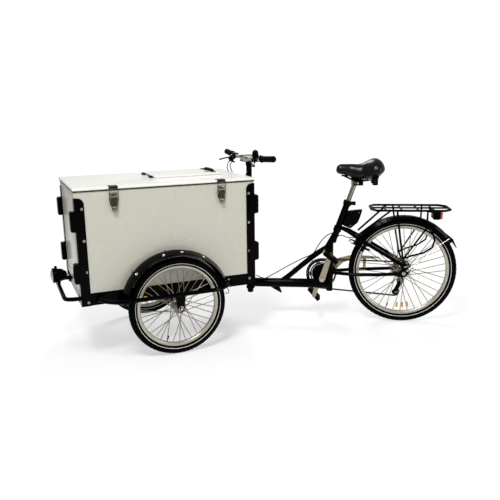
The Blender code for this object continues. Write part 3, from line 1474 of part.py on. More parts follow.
def make_rack():
    loop = [
        (-0.190, -0.050), (-0.161, -RACK_HALF), (0.199, -RACK_HALF), (0.237, -0.060), (0.237, 0.060),
        (0.199, RACK_HALF), (-0.161, RACK_HALF), (-0.190, 0.050)
    ]
    ring = tube([(REAR_X + x, y, RACK_Z) for x, y in loop], 0.0058, 1, closed=True)
    pieces = []
    for along in (-0.113, -0.026, 0.062, 0.144):
        x = REAR_X + along
        pieces.append(rod((x, -RACK_HALF, RACK_Z), (x, RACK_HALF, RACK_Z), 0.0042, 6))
    pieces.append(rod((REAR_X - 0.188, 0.0, RACK_Z), (REAR_X + 0.234, 0.0, RACK_Z), 0.0042, 6))
    outside = DROPOUT_Y + 0.003 + SEAT
    for side in (-1, 1):
        leg = [
            (REAR_X - 0.053, RACK_HALF, RACK_Z - 0.003), at_side(by_axle(-0.030, 0.1985), 0.096),
            at_side(by_axle(-0.008, 0.0815), 0.0855), at_side(by_axle(0.0070, 0.0455), outside + 0.0056)
        ]
        loop = [
            at_side(by_axle(-0.008, 0.0885), 0.0855), at_side(by_axle(0.029, 0.1065), 0.094),
            at_side(by_axle(0.096, 0.1265), 0.102), at_side(by_axle(0.142, 0.1585), 0.104),
            at_side(by_axle(0.154, 0.2015), 0.104), (REAR_X + 0.136, 0.104, RACK_Z - 0.115),
            (REAR_X + 0.109, 0.103, RACK_Z - 0.093)
        ]
        slope = [
            at_side(by_axle(-0.008, 0.0845), 0.0855), (REAR_X + 0.109, 0.103, RACK_Z - 0.093),
            (REAR_X + 0.109, RACK_HALF, RACK_Z - 0.005)
        ]
        x, z = STAY_BRIDGE
        strut = [
            (REAR_X - 0.091, RACK_HALF, RACK_Z - 0.002), (x + 0.0765, 0.074, z + 0.0768),
            (x + 0.0115, 0.054, z + 0.0208)
        ]
        for route, radius, detail in (
            (leg, 0.0050, 1), (loop, 0.0042, 0), (slope, 0.0045, 0), (strut, 0.0048, 1)
        ):
            pieces.append(tube([(x, side * y, z) for x, y, z in route], radius, detail))
        ys = sorted((side * outside, side * (outside + 0.0035)))
        pieces.append(block((REAR_X + 0.0015, REAR_X + 0.0125), ys, (REAR_R + 0.0305, REAR_R + 0.0505)))
    node("rack", fuse(ring, *pieces), BLACK_STEEL, REAR)


FENDER_R = REAR_R + 0.0165


def make_rear_fender():
    outer = [(FENDER_R - 0.018, 0.0300), (FENDER_R - 0.001, 0.0190)]
    outer = outer + [(r, -y) for r, y in outer[::-1]]
    inner = [(FENDER_R - 0.018, -0.0278), (FENDER_R - 0.0028, -0.0180)]
    inner = inner + [(r, -y) for r, y in inner[::-1]]
    body = turned(outer + inner, 44, "Y", AXLE)
    wedge = [(REAR_X, REAR_R)]
    for degrees in (33.0, -45.0, -135.0, -209.0):
        angle = math.radians(degrees)
        wedge.append((REAR_X + 0.6 * math.cos(angle), REAR_R + 0.6 * math.sin(angle)))
    body = cut(body, plate([wedge[::-1]], 0.2, 0.0))
    flap = [
        (0.0014, 41.15), (0.0093, 34.92), (0.0040, 25.69), (0.0009, 25.37), (-0.0040, 32.66),
        (-0.0098, 39.31)
    ]
    pieces = [plate([[round_axle(FENDER_R + r, degrees) for r, degrees in flap[::-1]]], 0.046)]
    outside = DROPOUT_Y + 0.003 + SEAT
    for side in (-1, 1):
        route = [
            at_side(round_axle(FENDER_R - 0.0054, 37.96), 0.0285),
            at_side(round_axle(FENDER_R - 0.0951, 39.32), 0.042),
            at_side(by_axle(0.069, 0.0535), 0.070), at_side(by_axle(0.020, 0.0180), outside + 0.0032)
        ]
        pieces.append(tube([(x, side * y, z) for x, y, z in route], 0.0024, 0))
        ys = sorted((side * outside, side * (outside + 0.0030)))
        pieces.append(block((REAR_X + 0.013, REAR_X + 0.024), ys, (REAR_R + 0.0105, REAR_R + 0.0235)))
    node("rear_fender", fuse(body, *pieces), BLACK_PLASTIC, REAR)


def make_tail_lamp():
    x = REAR_X + 0.152
    z = RACK_Z - 0.062
    body = block((x, x + 0.042), (-0.036, 0.036), (z, z + 0.047), 0.006)
    lens = block((x + 0.038, x + 0.051), (-0.032, 0.032), (z + 0.004, z + 0.043), 0.004)
    bracket = block((x - 0.018, x + 0.008), (-0.012, 0.012), (z + 0.037, RACK_Z - 0.0042 - SEAT))
    node("tail_lamp", fuse(body, lens, bracket), BLACK_PLASTIC, REAR)


def make_case():
    back = (SEAT_TUBE_R + 0.0004) / math.cos(SEAT_LEAN)
    low = seat_axis(0.565).x + back
    high = seat_axis(0.645).x + back
    outline = [(low, 0.565), (0.578, 0.548), (0.618, 0.583), (0.629, 0.611), (0.641, 0.654), (high, 0.645)]
    node("wedge_case", plate([outline], 0.048), BLACK_PLASTIC, REAR)


def make_rear_cable():
    side = -CURVED_R - 0.0018
    route = [
        (0.036, -0.0110, 0.262), (0.066, -0.0150, 0.2495), (0.120, -0.0184, 0.2405),
        (0.182, side, 0.240), (0.222, side, 0.257), (0.308, side, 0.333), (0.398, side, 0.406),
        (0.448, -0.0211, 0.440), (0.486, -0.0211, 0.495), (0.520, -0.0265, 0.510),
        (0.560, -0.033, 0.500), (0.598, -0.033, 0.497)
    ]
    node("control_cable_rear", tube(route, 0.0025, 0), RUBBER, REAR)


def build():
    make_carrier_frame()
    make_outer_stay("outer_stay_left", -1)
    make_outer_stay("outer_stay_right", 1)
    make_bumper_hoop()
    make_headlamp()
    make_box()
    for name, end, side in (
        ("post_front_left", -1, -1), ("post_front_right", -1, 1), ("post_rear_left", 1, -1),
        ("post_rear_right", 1, 1)
    ):
        make_post(name, end, side)
    make_front_fender("front_fender_left", -1)
    make_front_fender("front_fender_right", 1)
    make_lid()
    make_hatch()
    for tag, x in zip(("front", "rear"), LATCH_X):
        make_latch(tag, x)
    make_column()
    make_handlebar()
    make_front_cables()
    make_front_wheels()
    make_rear_frame()
    make_stays()
    make_seat()
    make_chain()
    make_crankset()
    make_pedal("pedal_left", -1)
    make_pedal("pedal_right", 1)
    make_cassette()
    make_derailleur()
    make_chain_guard()
    make_rack()
    make_rear_fender()
    make_tail_lamp()
    make_case()
    make_rear_cable()
    make_rear_wheel()
    bpy.data.collections.remove(WORKSHOP)


build()
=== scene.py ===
"""Looks of the front-box cargo tricycle vending cart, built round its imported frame.

Sizes are metres. Pieces of the box carrier are laid out from the upright steering axis at x = 0,
y = 0, and pieces of the bicycle behind it are laid out straight and turned with the steering.
"""

import logging
import math
from collections.abc import Callable, Sequence
from dataclasses import dataclass, field
from enum import Enum
from functools import cache

import bmesh
import bpy
from mathutils import Matrix, Vector

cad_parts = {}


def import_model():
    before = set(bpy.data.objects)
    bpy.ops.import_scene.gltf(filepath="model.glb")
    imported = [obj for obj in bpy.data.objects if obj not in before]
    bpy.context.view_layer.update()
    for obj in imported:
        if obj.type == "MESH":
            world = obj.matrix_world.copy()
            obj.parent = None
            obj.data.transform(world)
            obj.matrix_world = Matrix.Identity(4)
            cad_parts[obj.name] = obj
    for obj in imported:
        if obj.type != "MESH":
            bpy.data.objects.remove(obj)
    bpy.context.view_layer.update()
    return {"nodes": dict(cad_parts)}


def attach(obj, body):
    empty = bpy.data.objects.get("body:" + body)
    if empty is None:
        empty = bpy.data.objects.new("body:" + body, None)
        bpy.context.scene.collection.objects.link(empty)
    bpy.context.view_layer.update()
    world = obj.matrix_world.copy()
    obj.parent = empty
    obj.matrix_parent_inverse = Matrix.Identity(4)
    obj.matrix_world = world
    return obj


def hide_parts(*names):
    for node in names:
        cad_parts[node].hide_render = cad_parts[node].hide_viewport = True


Point = tuple[float, float, float]
Colour = tuple[float, float, float]
Profile = Sequence[tuple[float, float]]
Piece = bpy.types.Object

log = logging.getLogger("vending_cart")

STEERED_DEGREES = -29.4
STEERING_X = 0.0396
STEERING_Y = 0.1063
# Points closer than this are one point.
WELD = 0.00002
# Left and right of a layout's middle plane.
SIDES = (-1.0, 1.0)
# Axles as x and z in their own layouts.
FRONT_AXLE = (-0.546, 0.252)
REAR_AXLE = (0.876, 0.3035)


class Place(Enum):
    """The two layouts that pieces are drawn in."""

    CARRIER = "carrier"
    BICYCLE = "bicycle"

    def matrix(self) -> Matrix:
        """Where this layout stands in the world.

        Returns:
            The move from the layout to the world.
        """
        stand = Matrix.Translation((STEERING_X, STEERING_Y, 0.0))
        if self is Place.CARRIER:
            return stand
        return stand @ Matrix.Rotation(math.radians(STEERED_DEGREES), 4, "Z")


class Axis(Enum):
    """An axis to turn a profile about: its direction and the one its radii start in."""

    X = ((1, 0, 0), (0, 1, 0))
    Y = ((0, 1, 0), (1, 0, 0))
    Z = ((0, 0, 1), (1, 0, 0))


class Socket:
    """A value in a material, with arithmetic that adds its Math nodes."""

    def __init__(self, shading: "Shading", out: bpy.types.NodeSocket) -> None:
        """Wrap one output of a material's nodes."""
        self.shading = shading
        self.out = out

    def _with(self, operation: str, first: object, second: object) -> "Socket":
        """The result of one Math node on two values or links."""
        node = self.shading.add("ShaderNodeMath", {"operation": operation}, {0: first, 1: second})
        return Socket(self.shading, node.outputs[0])

    def __add__(self, other: object) -> "Socket":
        """The sum."""
        return self._with("ADD", self, other)

    def __radd__(self, other: object) -> "Socket":
        """The sum, from the right."""
        return self._with("ADD", other, self)

    def __sub__(self, other: object) -> "Socket":
        """The difference."""
        return self._with("SUBTRACT", self, other)

    def __rsub__(self, other: object) -> "Socket":
        """The difference, from the right."""
        return self._with("SUBTRACT", other, self)

    def __mul__(self, other: object) -> "Socket":
        """The product."""
        return self._with("MULTIPLY", self, other)

    def __rmul__(self, other: object) -> "Socket":
        """The product, from the right."""
        return self._with("MULTIPLY", other, self)


class Shading:
    """One material's nodes, all made by one method."""

    def __init__(self, name: str) -> None:
        """Start a material with its shader and output.

        Args:
            name: The material's name.
        """
        self.material = bpy.data.materials.new(name)
        self.material.use_nodes = True
        self.tree = self.material.node_tree
        self.tree.nodes.clear()
        self.output = self.add("ShaderNodeOutputMaterial")
        self.shader = self.add("ShaderNodeBsdfPrincipled")
        self.tree.links.new(self.shader.outputs[0], self.output.inputs["Surface"])
        self.place = self.add("ShaderNodeTexCoord").outputs["Object"]

    def add(
        self,
        kind: str,
        settings: dict[str, object] | None = None,
        sockets: dict[object, object] | None = None,
    ) -> bpy.types.Node:
        """Add a node.

        Args:
            kind: The node's type.
            settings: Its properties, with a ramp's stops under "stops".
            sockets: The value or link of each input, by name or number.

        Returns:
            The node.
        """
        node = self.tree.nodes.new(kind)
        for key, value in (settings or {}).items():
            if key == "stops":
                for stop, (at, colour) in zip(node.color_ramp.elements, value):
                    stop.position = at
                    stop.color = (*colour, 1.0)
            else:
                setattr(node, key, value)
        for key, value in (sockets or {}).items():
            self.feed(node.inputs[key], value)
        return node

    def feed(self, target: bpy.types.NodeSocket, value: object) -> None:
        """Set or link one input.

        Args:
            target: The input.
            value: A number, a colour, a vector, a Socket or an output.
        """
        if isinstance(value, Socket):
            self.tree.links.new(value.out, target)
        elif isinstance(value, bpy.types.NodeSocket):
            self.tree.links.new(value, target)
        elif isinstance(value, tuple) and len(value) == 3 and target.type == "RGBA":
            target.default_value = (*value, 1.0)
        else:
            target.default_value = value

    def scaled(self, scale: Point) -> bpy.types.NodeSocket:
        """The place on the piece, scaled in each direction."""
        return self.add("ShaderNodeMapping", {}, {"Vector": self.place, "Scale": scale}).outputs[0]

    def noise(self, scale: float, detail: float = 2.0, stretch: Point = (1.0, 1.0, 1.0)) -> Socket:
        """Cloudy variation over the piece.

        Args:
            scale: How many features there are in a metre.
            detail: How many finer layers it has.
            stretch: A factor for each direction, larger where features are narrower.

        Returns:
            A value of about 0.3 to 0.7.
        """
        sockets = {"Vector": self.scaled(stretch), "Scale": scale, "Detail": detail, "Roughness": 0.55}
        return Socket(self, self.add("ShaderNodeTexNoise", {}, sockets).outputs["Fac"])

    def cells(self, scale: float, **settings: str) -> Socket:
        """The distance inside packed cells, scale of them in a metre, of the settings' shape."""
        node = self.add("ShaderNodeTexVoronoi", settings, {"Vector": self.place, "Scale": scale})
        return Socket(self, node.outputs["Distance"])

    def ramp(self, value: Socket, *stops: tuple[float, Colour]) -> bpy.types.NodeSocket:
        """The colour of a value between two stops, each a place from 0 to 1 and its colour."""
        return self.add("ShaderNodeValToRGB", {"stops": stops}, {0: value}).outputs[0]

    def bump(self, height: Socket, depth: float, strength: float = 1.0) -> None:
        """Roughen the surface by a pattern, with how deep a change of 1 is and how much of it shows."""
        node = self.add("ShaderNodeBump", {}, {"Height": height, "Distance": depth, "Strength": strength})
        self.feed(self.shader.inputs["Normal"], node.outputs[0])

    def set(self, **values: object) -> None:
        """Set the shader's own inputs, their names written with underscores."""
        for key, value in values.items():
            self.feed(self.shader.inputs[key.replace("_", " ")], value)


@dataclass(frozen=True)
class Finish:
    """A finish: its colour, its usual roughness and the way it is made a material."""

    name: str
    colour: Colour
    roughness: float

    @cache
    def material(self) -> bpy.types.Material:
        """The finish as a material, made once.

        Returns:
            The material.
        """
        shading = Shading(self.name)
        self.dress(shading)
        return shading.material

    def dress(self, shading: Shading) -> None:
        """Set the material's shader, as each kind of finish does."""
        raise NotImplementedError

    def shade(self, factor: float) -> Colour:
        """A lighter or darker version of its colour."""
        return tuple(min(1.0, channel * factor) for channel in self.colour)

    def tone(
        self, shading: Shading, value: Socket, low: tuple[float, float], high: tuple[float, float]
    ) -> bpy.types.NodeSocket:
        """Its colour, drifting between two shades, each with the value it is reached at."""
        return shading.ramp(value, *((at, self.shade(factor)) for at, factor in (low, high)))


@dataclass(frozen=True)
class Enamel(Finish):
    """Powder coat or paint on steel: glossy, faintly rippled, with a little dust in places."""

    coat: float = 0.01
    dust: float = 0.12
    shine: float = 0.028

    def dress(self, shading: Shading) -> None:
        """Set the material's shader.

        Args:
            shading: The material's nodes.
        """
        cloud = shading.noise(9.0, 4.0)
        ripple = shading.noise(380.0, 2.0)
        shading.set(
            Base_Color=self.tone(shading, cloud, (0.30, 1.0), (0.75, 1.0 + self.dust)),
            Roughness=cloud * 0.10 + (self.roughness - 0.05),
            Specular_IOR_Level=self.shine,
            Coat_Weight=self.coat,
            Coat_Roughness=0.05,
        )
        shading.bump(ripple, 0.00004)


@dataclass(frozen=True)
class FacedBoard(Finish):
    """White faced board: smooth and glossy, with a slow drift of tone and fine handling marks."""

    def dress(self, shading: Shading) -> None:
        """Set the material's shader.

        Args:
            shading: The material's nodes.
        """
        drift = shading.noise(2.2, 1.0)
        marks = shading.noise(11.0, 5.0)
        skin = shading.noise(90.0, 2.0)
        shading.set(
            Base_Color=self.tone(shading, drift * 0.8 + marks * 0.2, (0.25, 0.985), (0.75, 1.0)),
            Roughness=marks * 0.04 + (self.roughness - 0.02),
            Coat_Weight=0.25,
            Coat_Roughness=0.16,
        )
        shading.bump(skin, 0.00001, 0.4)


@dataclass(frozen=True)
class Metal(Finish):
    """Bare metal with a drawn or turned grain and slightly uneven polish."""

    metallic: float = 1.0
    grain: float = 90.0
    soil: float = 0.86

    def dress(self, shading: Shading) -> None:
        """Set the material's shader.

        Args:
            shading: The material's nodes.
        """
        cloud = shading.noise(34.0, 4.0)
        grain = shading.noise(self.grain, 3.0, (1.0, 1.0, 9.0))
        shading.set(
            Base_Color=self.tone(shading, cloud, (0.30, self.soil), (0.62, 1.0)),
            Metallic=self.metallic,
            Roughness=grain * 0.16 + cloud * 0.10 + (self.roughness - 0.13),
        )
        shading.bump(grain, 0.00004)


@dataclass(frozen=True)
class Moulded(Finish):
    """Moulded plastic or rubber with a fine sparked grain."""

    grain: float = 900.0
    depth: float = 0.00010
    bloom: float = 1.4
    shine: float = 0.022

    def dress(self, shading: Shading) -> None:
        """Set the material's shader.

        Args:
            shading: The material's nodes.
        """
        cloud = shading.noise(14.0, 4.0)
        grain = shading.noise(self.grain, 2.0)
        shading.set(
            Base_Color=self.tone(shading, cloud, (0.30, 1.0), (0.72, self.bloom)),
            Roughness=cloud * 0.18 + (self.roughness - 0.09),
            Specular_IOR_Level=self.shine,
        )
        shading.bump(grain, self.depth)


@dataclass(frozen=True)
class Vinyl(Finish):
    """Leather-grained vinyl: small raised pebbles with worn tops."""

    pebbles: float = 900.0

    def dress(self, shading: Shading) -> None:
        """Set the material's shader.

        Args:
            shading: The material's nodes.
        """
        pebble = shading.cells(self.pebbles, feature="DISTANCE_TO_EDGE")
        cloud = shading.noise(22.0, 4.0)
        shading.set(
            Base_Color=self.tone(shading, cloud, (0.30, 1.0), (0.75, 1.5)),
            Roughness=cloud * 0.08 + (self.roughness - 0.06),
            Specular_IOR_Level=0.20,
            Coat_Weight=0.05,
            Coat_Roughness=0.30,
        )
        shading.bump(pebble, 0.00002, 0.03)


@dataclass(frozen=True)
class Prismatic(Finish):
    """A coloured reflector or lamp lens, with small corner-cube cells behind a smooth face and a glow from
    emission, painted on the reflectors.
    """

    # How bright a glow its emission paints in; reflectors are no lamps.
    glow: float = 0.15
    prisms: float = 420.0

    def dress(self, shading: Shading) -> None:
        """Set the material's shader.

        Args:
            shading: The material's nodes.
        """
        depth = shading.cells(self.prisms, feature="F1", distance="CHEBYCHEV")
        shading.set(
            Base_Color=self.tone(shading, depth, (0.05, 1.0), (0.60, 0.45)),
            Roughness=depth * 0.12 + self.roughness,
            Coat_Weight=0.8,
            Coat_Roughness=0.04,
            Emission_Color=self.colour,
            Emission_Strength=self.glow,
        )
        shading.bump(depth, 0.0008, 0.5)


@dataclass(frozen=True)
class Glassy(Finish):
    """The clear face of a lamp over its bright reflector."""

    def dress(self, shading: Shading) -> None:
        """Set the material's shader.

        Args:
            shading: The material's nodes.
        """
        ribs = shading.noise(160.0, 1.0, (1.0, 4.0, 0.3))
        shading.set(
            Base_Color=self.tone(shading, ribs, (0.30, 0.7), (0.70, 1.0)),
            Metallic=0.55,
            Roughness=ribs * 0.10 + self.roughness,
            Coat_Weight=1.0,
            Coat_Roughness=0.03,
        )
        shading.bump(ribs, 0.0004, 0.6)


@dataclass(frozen=True)
class Clear(Finish):
    """Thin clear plastic, a little cloudy."""

    cover: float = 0.12

    def dress(self, shading: Shading) -> None:
        """Set the material's shader.

        Args:
            shading: The material's nodes.
        """
        cloud = shading.noise(30.0, 3.0)
        shading.set(
            Base_Color=self.tone(shading, cloud, (0.30, 0.9), (0.70, 1.0)),
            Roughness=cloud * 0.10 + self.roughness,
            Alpha=cloud * 0.10 + (self.cover - 0.05),
        )


class Finishes:
    """Every finish on the cart."""

    gloss_black = Enamel("gloss_black_enamel", (0.0007, 0.0007, 0.0008), 0.14)
    satin_black = Enamel("satin_black_enamel", (0.0010, 0.0010, 0.0011), 0.30)
    board = FacedBoard("white_faced_board", (0.79, 0.79, 0.745), 0.27)
    # The white board darkened for the box's side and end panels: painted shade, as the sides take less light
    # than the lid.
    board_painted_shade = FacedBoard("white_board_painted_shade", (0.500, 0.488, 0.418), 0.27)
    alloy = Metal("satin_alloy", (0.56, 0.54, 0.49), 0.26, 0.95)
    rim = Metal("rim_alloy", (0.47, 0.44, 0.36), 0.36, 0.75, 140.0)
    spoke = Metal("spoke_steel", (0.29, 0.255, 0.19), 0.30)
    hub = Metal("hub_alloy", (0.20, 0.19, 0.17), 0.34)
    crank = Metal("crank_alloy", (0.37, 0.33, 0.235), 0.40, 0.9)
    dark_iron = Metal("blackened_steel", (0.045, 0.043, 0.040), 0.34)
    tip = Metal("bright_steel", (0.27, 0.255, 0.20), 0.26)
    post = Metal("worn_chrome", (0.33, 0.29, 0.21), 0.20, 1.0, 60.0, 0.9)
    chrome = Metal("polished_steel", (0.76, 0.75, 0.72), 0.16, 1.0, 60.0, 0.95)
    steel = Metal("plain_steel", (0.30, 0.28, 0.25), 0.32)
    zinc = Metal("zinc_plate", (0.46, 0.45, 0.42), 0.36, 0.95, 200.0, 0.8)
    bronze = Metal("bronze_tinted_steel", (0.085, 0.068, 0.034), 0.28)
    dark_steel = Metal("oiled_steel", (0.040, 0.037, 0.032), 0.36, 1.0, 150.0, 0.6)
    tyre = Moulded("tyre_rubber", (0.0009, 0.0009, 0.0010), 0.56, 700.0, 0.00012)
    stripe = Moulded("reflective_band", (0.62, 0.62, 0.60), 0.45, 1200.0, 0.00005, 1.2, 0.5)
    grip = Moulded("grip_rubber", (0.0010, 0.0010, 0.0011), 0.46, 1100.0)
    sheath = Moulded("cable_sheath", (0.0010, 0.0010, 0.0011), 0.34, 600.0, 0.00003)
    black_plastic = Moulded("black_plastic", (0.0010, 0.0010, 0.0011), 0.36)
    guard_plastic = Moulded("beige_plastic", (0.40, 0.33, 0.21), 0.42, 700.0, 0.00006, 1.08, 0.5)
    # A dark brown strip colour: painted shade in slots and holes, and the painted shadow line under the lid.
    painted_gap_shade = Moulded("painted_gap_shadow", (0.036, 0.029, 0.015), 0.80)
    vinyl = Vinyl("grained_vinyl", (0.0012, 0.0012, 0.0013), 0.30)
    # Emission paints a glow into the amber reflectors, which are no lamps, and a faint glow into the tail
    # lens.
    amber = Prismatic("amber_reflector", (0.78, 0.36, 0.012), 0.12, 0.05)
    red = Prismatic("red_lens", (0.42, 0.012, 0.010), 0.12, 0.12)
    lens = Glassy("lamp_glass", (0.46, 0.46, 0.43), 0.08)
    clear = Clear("clear_plastic", (0.20, 0.20, 0.19), 0.15)


class Bench:
    """Modelling with Blender's own operators, one piece at a time."""

    @staticmethod
    def put_aside() -> None:
        """Leave edit mode and deselect everything."""
        if bpy.context.mode != "OBJECT":
            bpy.ops.object.mode_set(mode="OBJECT")
        bpy.ops.object.select_all(action="DESELECT")

    @classmethod
    def pick(cls, piece: Piece) -> Piece:
        """Make one piece the only one selected.

        Args:
            piece: The piece.

        Returns:
            The same piece.
        """
        cls.put_aside()
        piece.select_set(True)
        bpy.context.view_layer.objects.active = piece
        return piece

    @staticmethod
    def smooth(degrees: float) -> None:
        """Shade the active piece smooth where its faces meet at less than an angle."""
        bpy.ops.object.shade_smooth_by_angle(angle=math.radians(degrees))

    @staticmethod
    def settled() -> Piece:
        """The primitive just added, its place moved into its mesh."""
        bpy.ops.object.transform_apply(location=True, rotation=True, scale=True)
        return bpy.context.active_object

    @classmethod
    def block(cls, low: Point, high: Point) -> Piece:
        """A box between its lowest and its highest corner.

        Args:
            low: Its lowest corner.
            high: Its highest corner.

        Returns:
            The piece.
        """
        cls.put_aside()
        middle, size = (Vector(low) + Vector(high)) / 2, Vector(high) - Vector(low)
        bpy.ops.mesh.primitive_cube_add(size=1.0, location=middle, scale=size)
        return cls.settled()

    @classmethod
    def rod(
        cls, start: Point, end: Point, radius: float, sides: int = 24, end_radius: float | None = None
    ) -> Piece:
        """A round bar, straight or tapered.

        Args:
            start: The middle of its first end.
            end: The middle of its other end.
            radius: Its radius at the start.
            sides: How many sides it has.
            end_radius: Its radius at the end, where that differs.

        Returns:
            The piece.
        """
        cls.put_aside()
        run = Vector(end) - Vector(start)
        bpy.ops.mesh.primitive_cone_add(
            vertices=sides,
            radius1=radius,
            radius2=radius if end_radius is None else end_radius,
            depth=run.length,
            location=(Vector(start) + Vector(end)) / 2,
            rotation=run.to_track_quat("Z", "Y").to_euler(),
        )
        return cls.settled()

    @classmethod
    def inset(cls, piece: Piece, way: Point, rim: float, sink: float, both: bool = False) -> Piece:
        """Inset the faces that look one way and push the inner ones in or out.

        Args:
            piece: The piece.
            way: The direction that they look in.
            rim: The width of the rim left round them.
            sink: How far the inner faces go in, or out where negative.
            both: Whether those that look the other way are taken too.

        Returns:
            The same piece.
        """
        cls.pick(piece)
        bpy.ops.object.mode_set(mode="EDIT")
        bpy.ops.mesh.select_mode(type="FACE")
        bpy.ops.mesh.select_all(action="DESELECT")
        mesh = bmesh.from_edit_mesh(piece.data)
        mesh.normal_update()
        for face in mesh.faces:
            facing = face.normal.dot(Vector(way))
            face.select_set((abs(facing) if both else facing) > 0.9)
        mesh.select_flush_mode()
        bmesh.update_edit_mesh(piece.data)
        bpy.ops.mesh.inset(thickness=rim, depth=-sink, use_even_offset=True)
        cls.put_aside()
        return piece

    @classmethod
    def soften(cls, piece: Piece, width: float, segments: int = 2, sharp: float = 30.0) -> Piece:
        """Bevel the sharp edges of a piece and shade it smooth.

        Args:
            piece: The piece.
            width: The width of the bevel.
            segments: How many faces it is made of.
            sharp: The least angle in degrees of an edge that is bevelled.

        Returns:
            The same piece.
        """
        cls.pick(piece)
        cls.bevel(piece, width, segments, sharp)
        bpy.ops.object.modifier_apply(modifier="soft_edges")
        cls.smooth(40.0)
        return piece

    @staticmethod
    def bevel(piece: Piece, width: float, segments: int, sharp: float) -> None:
        """Add a live bevel of a piece's sharp edges, with soften's sizes.

        Args:
            piece: The piece.
            width: The width of the bevel.
            segments: How many faces it is made of.
            sharp: The least angle in degrees of an edge that is bevelled.
        """
        bevel = piece.modifiers.new("soft_edges", "BEVEL")
        bevel.width = width
        bevel.segments = segments
        bevel.limit_method = "ANGLE"
        bevel.angle_limit = math.radians(sharp)

    @classmethod
    def lathe(cls, profile: Profile, centre: Point, axis: Axis = Axis.Y, steps: int = 48) -> Piece:
        """Turn a closed profile about an axis.

        Args:
            profile: Points as radius and distance along the axis.
            centre: Where the axis is and distances start.
            axis: Its direction.
            steps: How many steps the turn has.

        Returns:
            The piece.
        """
        along, across = (Vector(way) for way in axis.value)
        middle = Vector(centre)
        points = [middle + across * radius + along * height for radius, height in profile]
        points.append(points[0])
        cls.put_aside()
        bpy.ops.mesh.primitive_plane_add(size=0.001, location=points[0])
        piece = cls.settled()
        bpy.ops.object.mode_set(mode="EDIT")
        bpy.ops.mesh.select_mode(type="VERT")
        bpy.ops.mesh.select_all(action="SELECT")
        bpy.ops.mesh.merge(type="CENTER")
        for here, there in zip(points, points[1:]):
            bpy.ops.mesh.extrude_region_move(TRANSFORM_OT_translate={"value": there - here})
        bpy.ops.mesh.select_all(action="SELECT")
        bpy.ops.mesh.spin(steps=steps, angle=2 * math.pi, center=middle, axis=along, use_auto_merge=False)
        cls.tidy(piece)
        cls.smooth(38.0)
        return piece

    @classmethod
    def tube(
        cls, route: Sequence[Point], radius: float, detail: int = 4, steps: int = 6, cyclic: bool = False
    ) -> Piece:
        """A round tube or wire along a smooth curve through points.

        Args:
            route: The points.
            radius: The tube's radius.
            detail: Half of its number of sides, less two.
            steps: How many stretches there are between two points.
            cyclic: Whether the route closes on itself.

        Returns:
            The piece.
        """
        curve = bpy.data.curves.new("route", "CURVE")
        curve.dimensions = "3D"
        curve.bevel_depth = radius
        curve.bevel_resolution = detail
        curve.resolution_u = steps
        curve.use_fill_caps = True
        spline = curve.splines.new("BEZIER")
        spline.bezier_points.add(len(route) - 1)
        spline.use_cyclic_u = cyclic
        for point, where in zip(spline.bezier_points, route):
            point.co = where
            point.handle_left_type = point.handle_right_type = "AUTO"
        piece = bpy.data.objects.new("route", curve)
        bpy.context.scene.collection.objects.link(piece)
        cls.pick(piece)
        bpy.ops.object.convert(target="MESH")
        piece = cls.tidy(bpy.context.active_object)
        cls.smooth(50.0)
        return piece

    @classmethod
    def tidy(cls, piece: Piece) -> Piece:
        """Close seams and point all faces outwards.

        Args:
            piece: The piece.

        Returns:
            The same piece.
        """
        cls.pick(piece)
        bpy.ops.object.mode_set(mode="EDIT")
        bpy.ops.mesh.select_mode(type="VERT")
        bpy.ops.mesh.select_all(action="SELECT")
        bpy.ops.mesh.remove_doubles(threshold=WELD)
        bpy.ops.mesh.normals_make_consistent(inside=False)
        bpy.ops.object.mode_set(mode="OBJECT")
        return piece

    @classmethod
    def move(cls, piece: Piece, matrix: Matrix) -> Piece:
        """Move a piece, its place staying in its mesh.

        Args:
            piece: The piece.
            matrix: The move.

        Returns:
            The same piece.
        """
        piece.data.transform(matrix)
        if matrix.determinant() < 0:
            cls.tidy(piece)
        return piece

    @staticmethod
    def about(centre: Point, turn: Matrix) -> Matrix:
        """A turn about a point."""
        return Matrix.Translation(centre) @ turn @ Matrix.Translation(centre).inverted()

    @classmethod
    def twin(cls, piece: Piece, matrix: Matrix) -> Piece:
        """A moved copy with its own mesh.

        Args:
            piece: The piece to copy.
            matrix: The move from the piece to the copy.

        Returns:
            The copy.
        """
        made = piece.copy()
        made.data = piece.data.copy()
        bpy.context.scene.collection.objects.link(made)
        return cls.move(made, matrix)

    @classmethod
    def join(cls, pieces: Sequence[Piece]) -> Piece:
        """Join pieces into one object.

        Args:
            pieces: The pieces.

        Returns:
            The object.
        """
        cls.pick(pieces[0])
        if len(pieces) > 1:
            for piece in pieces:
                piece.select_set(True)
            bpy.ops.object.join()
        return pieces[0]

    @classmethod
    def ring_of(cls, piece: Piece, count: int, centre: Point) -> Piece:
        """Copies of a piece spaced evenly round an axis along Y, the piece among them.

        Args:
            piece: The piece to repeat.
            count: How many there are in all.
            centre: A point on the axis.

        Returns:
            The joined object.
        """
        turns = (Matrix.Rotation(2 * math.pi * number / count, 4, "Y") for number in range(1, count))
        return cls.join([piece] + [cls.twin(piece, cls.about(centre, turn)) for turn in turns])


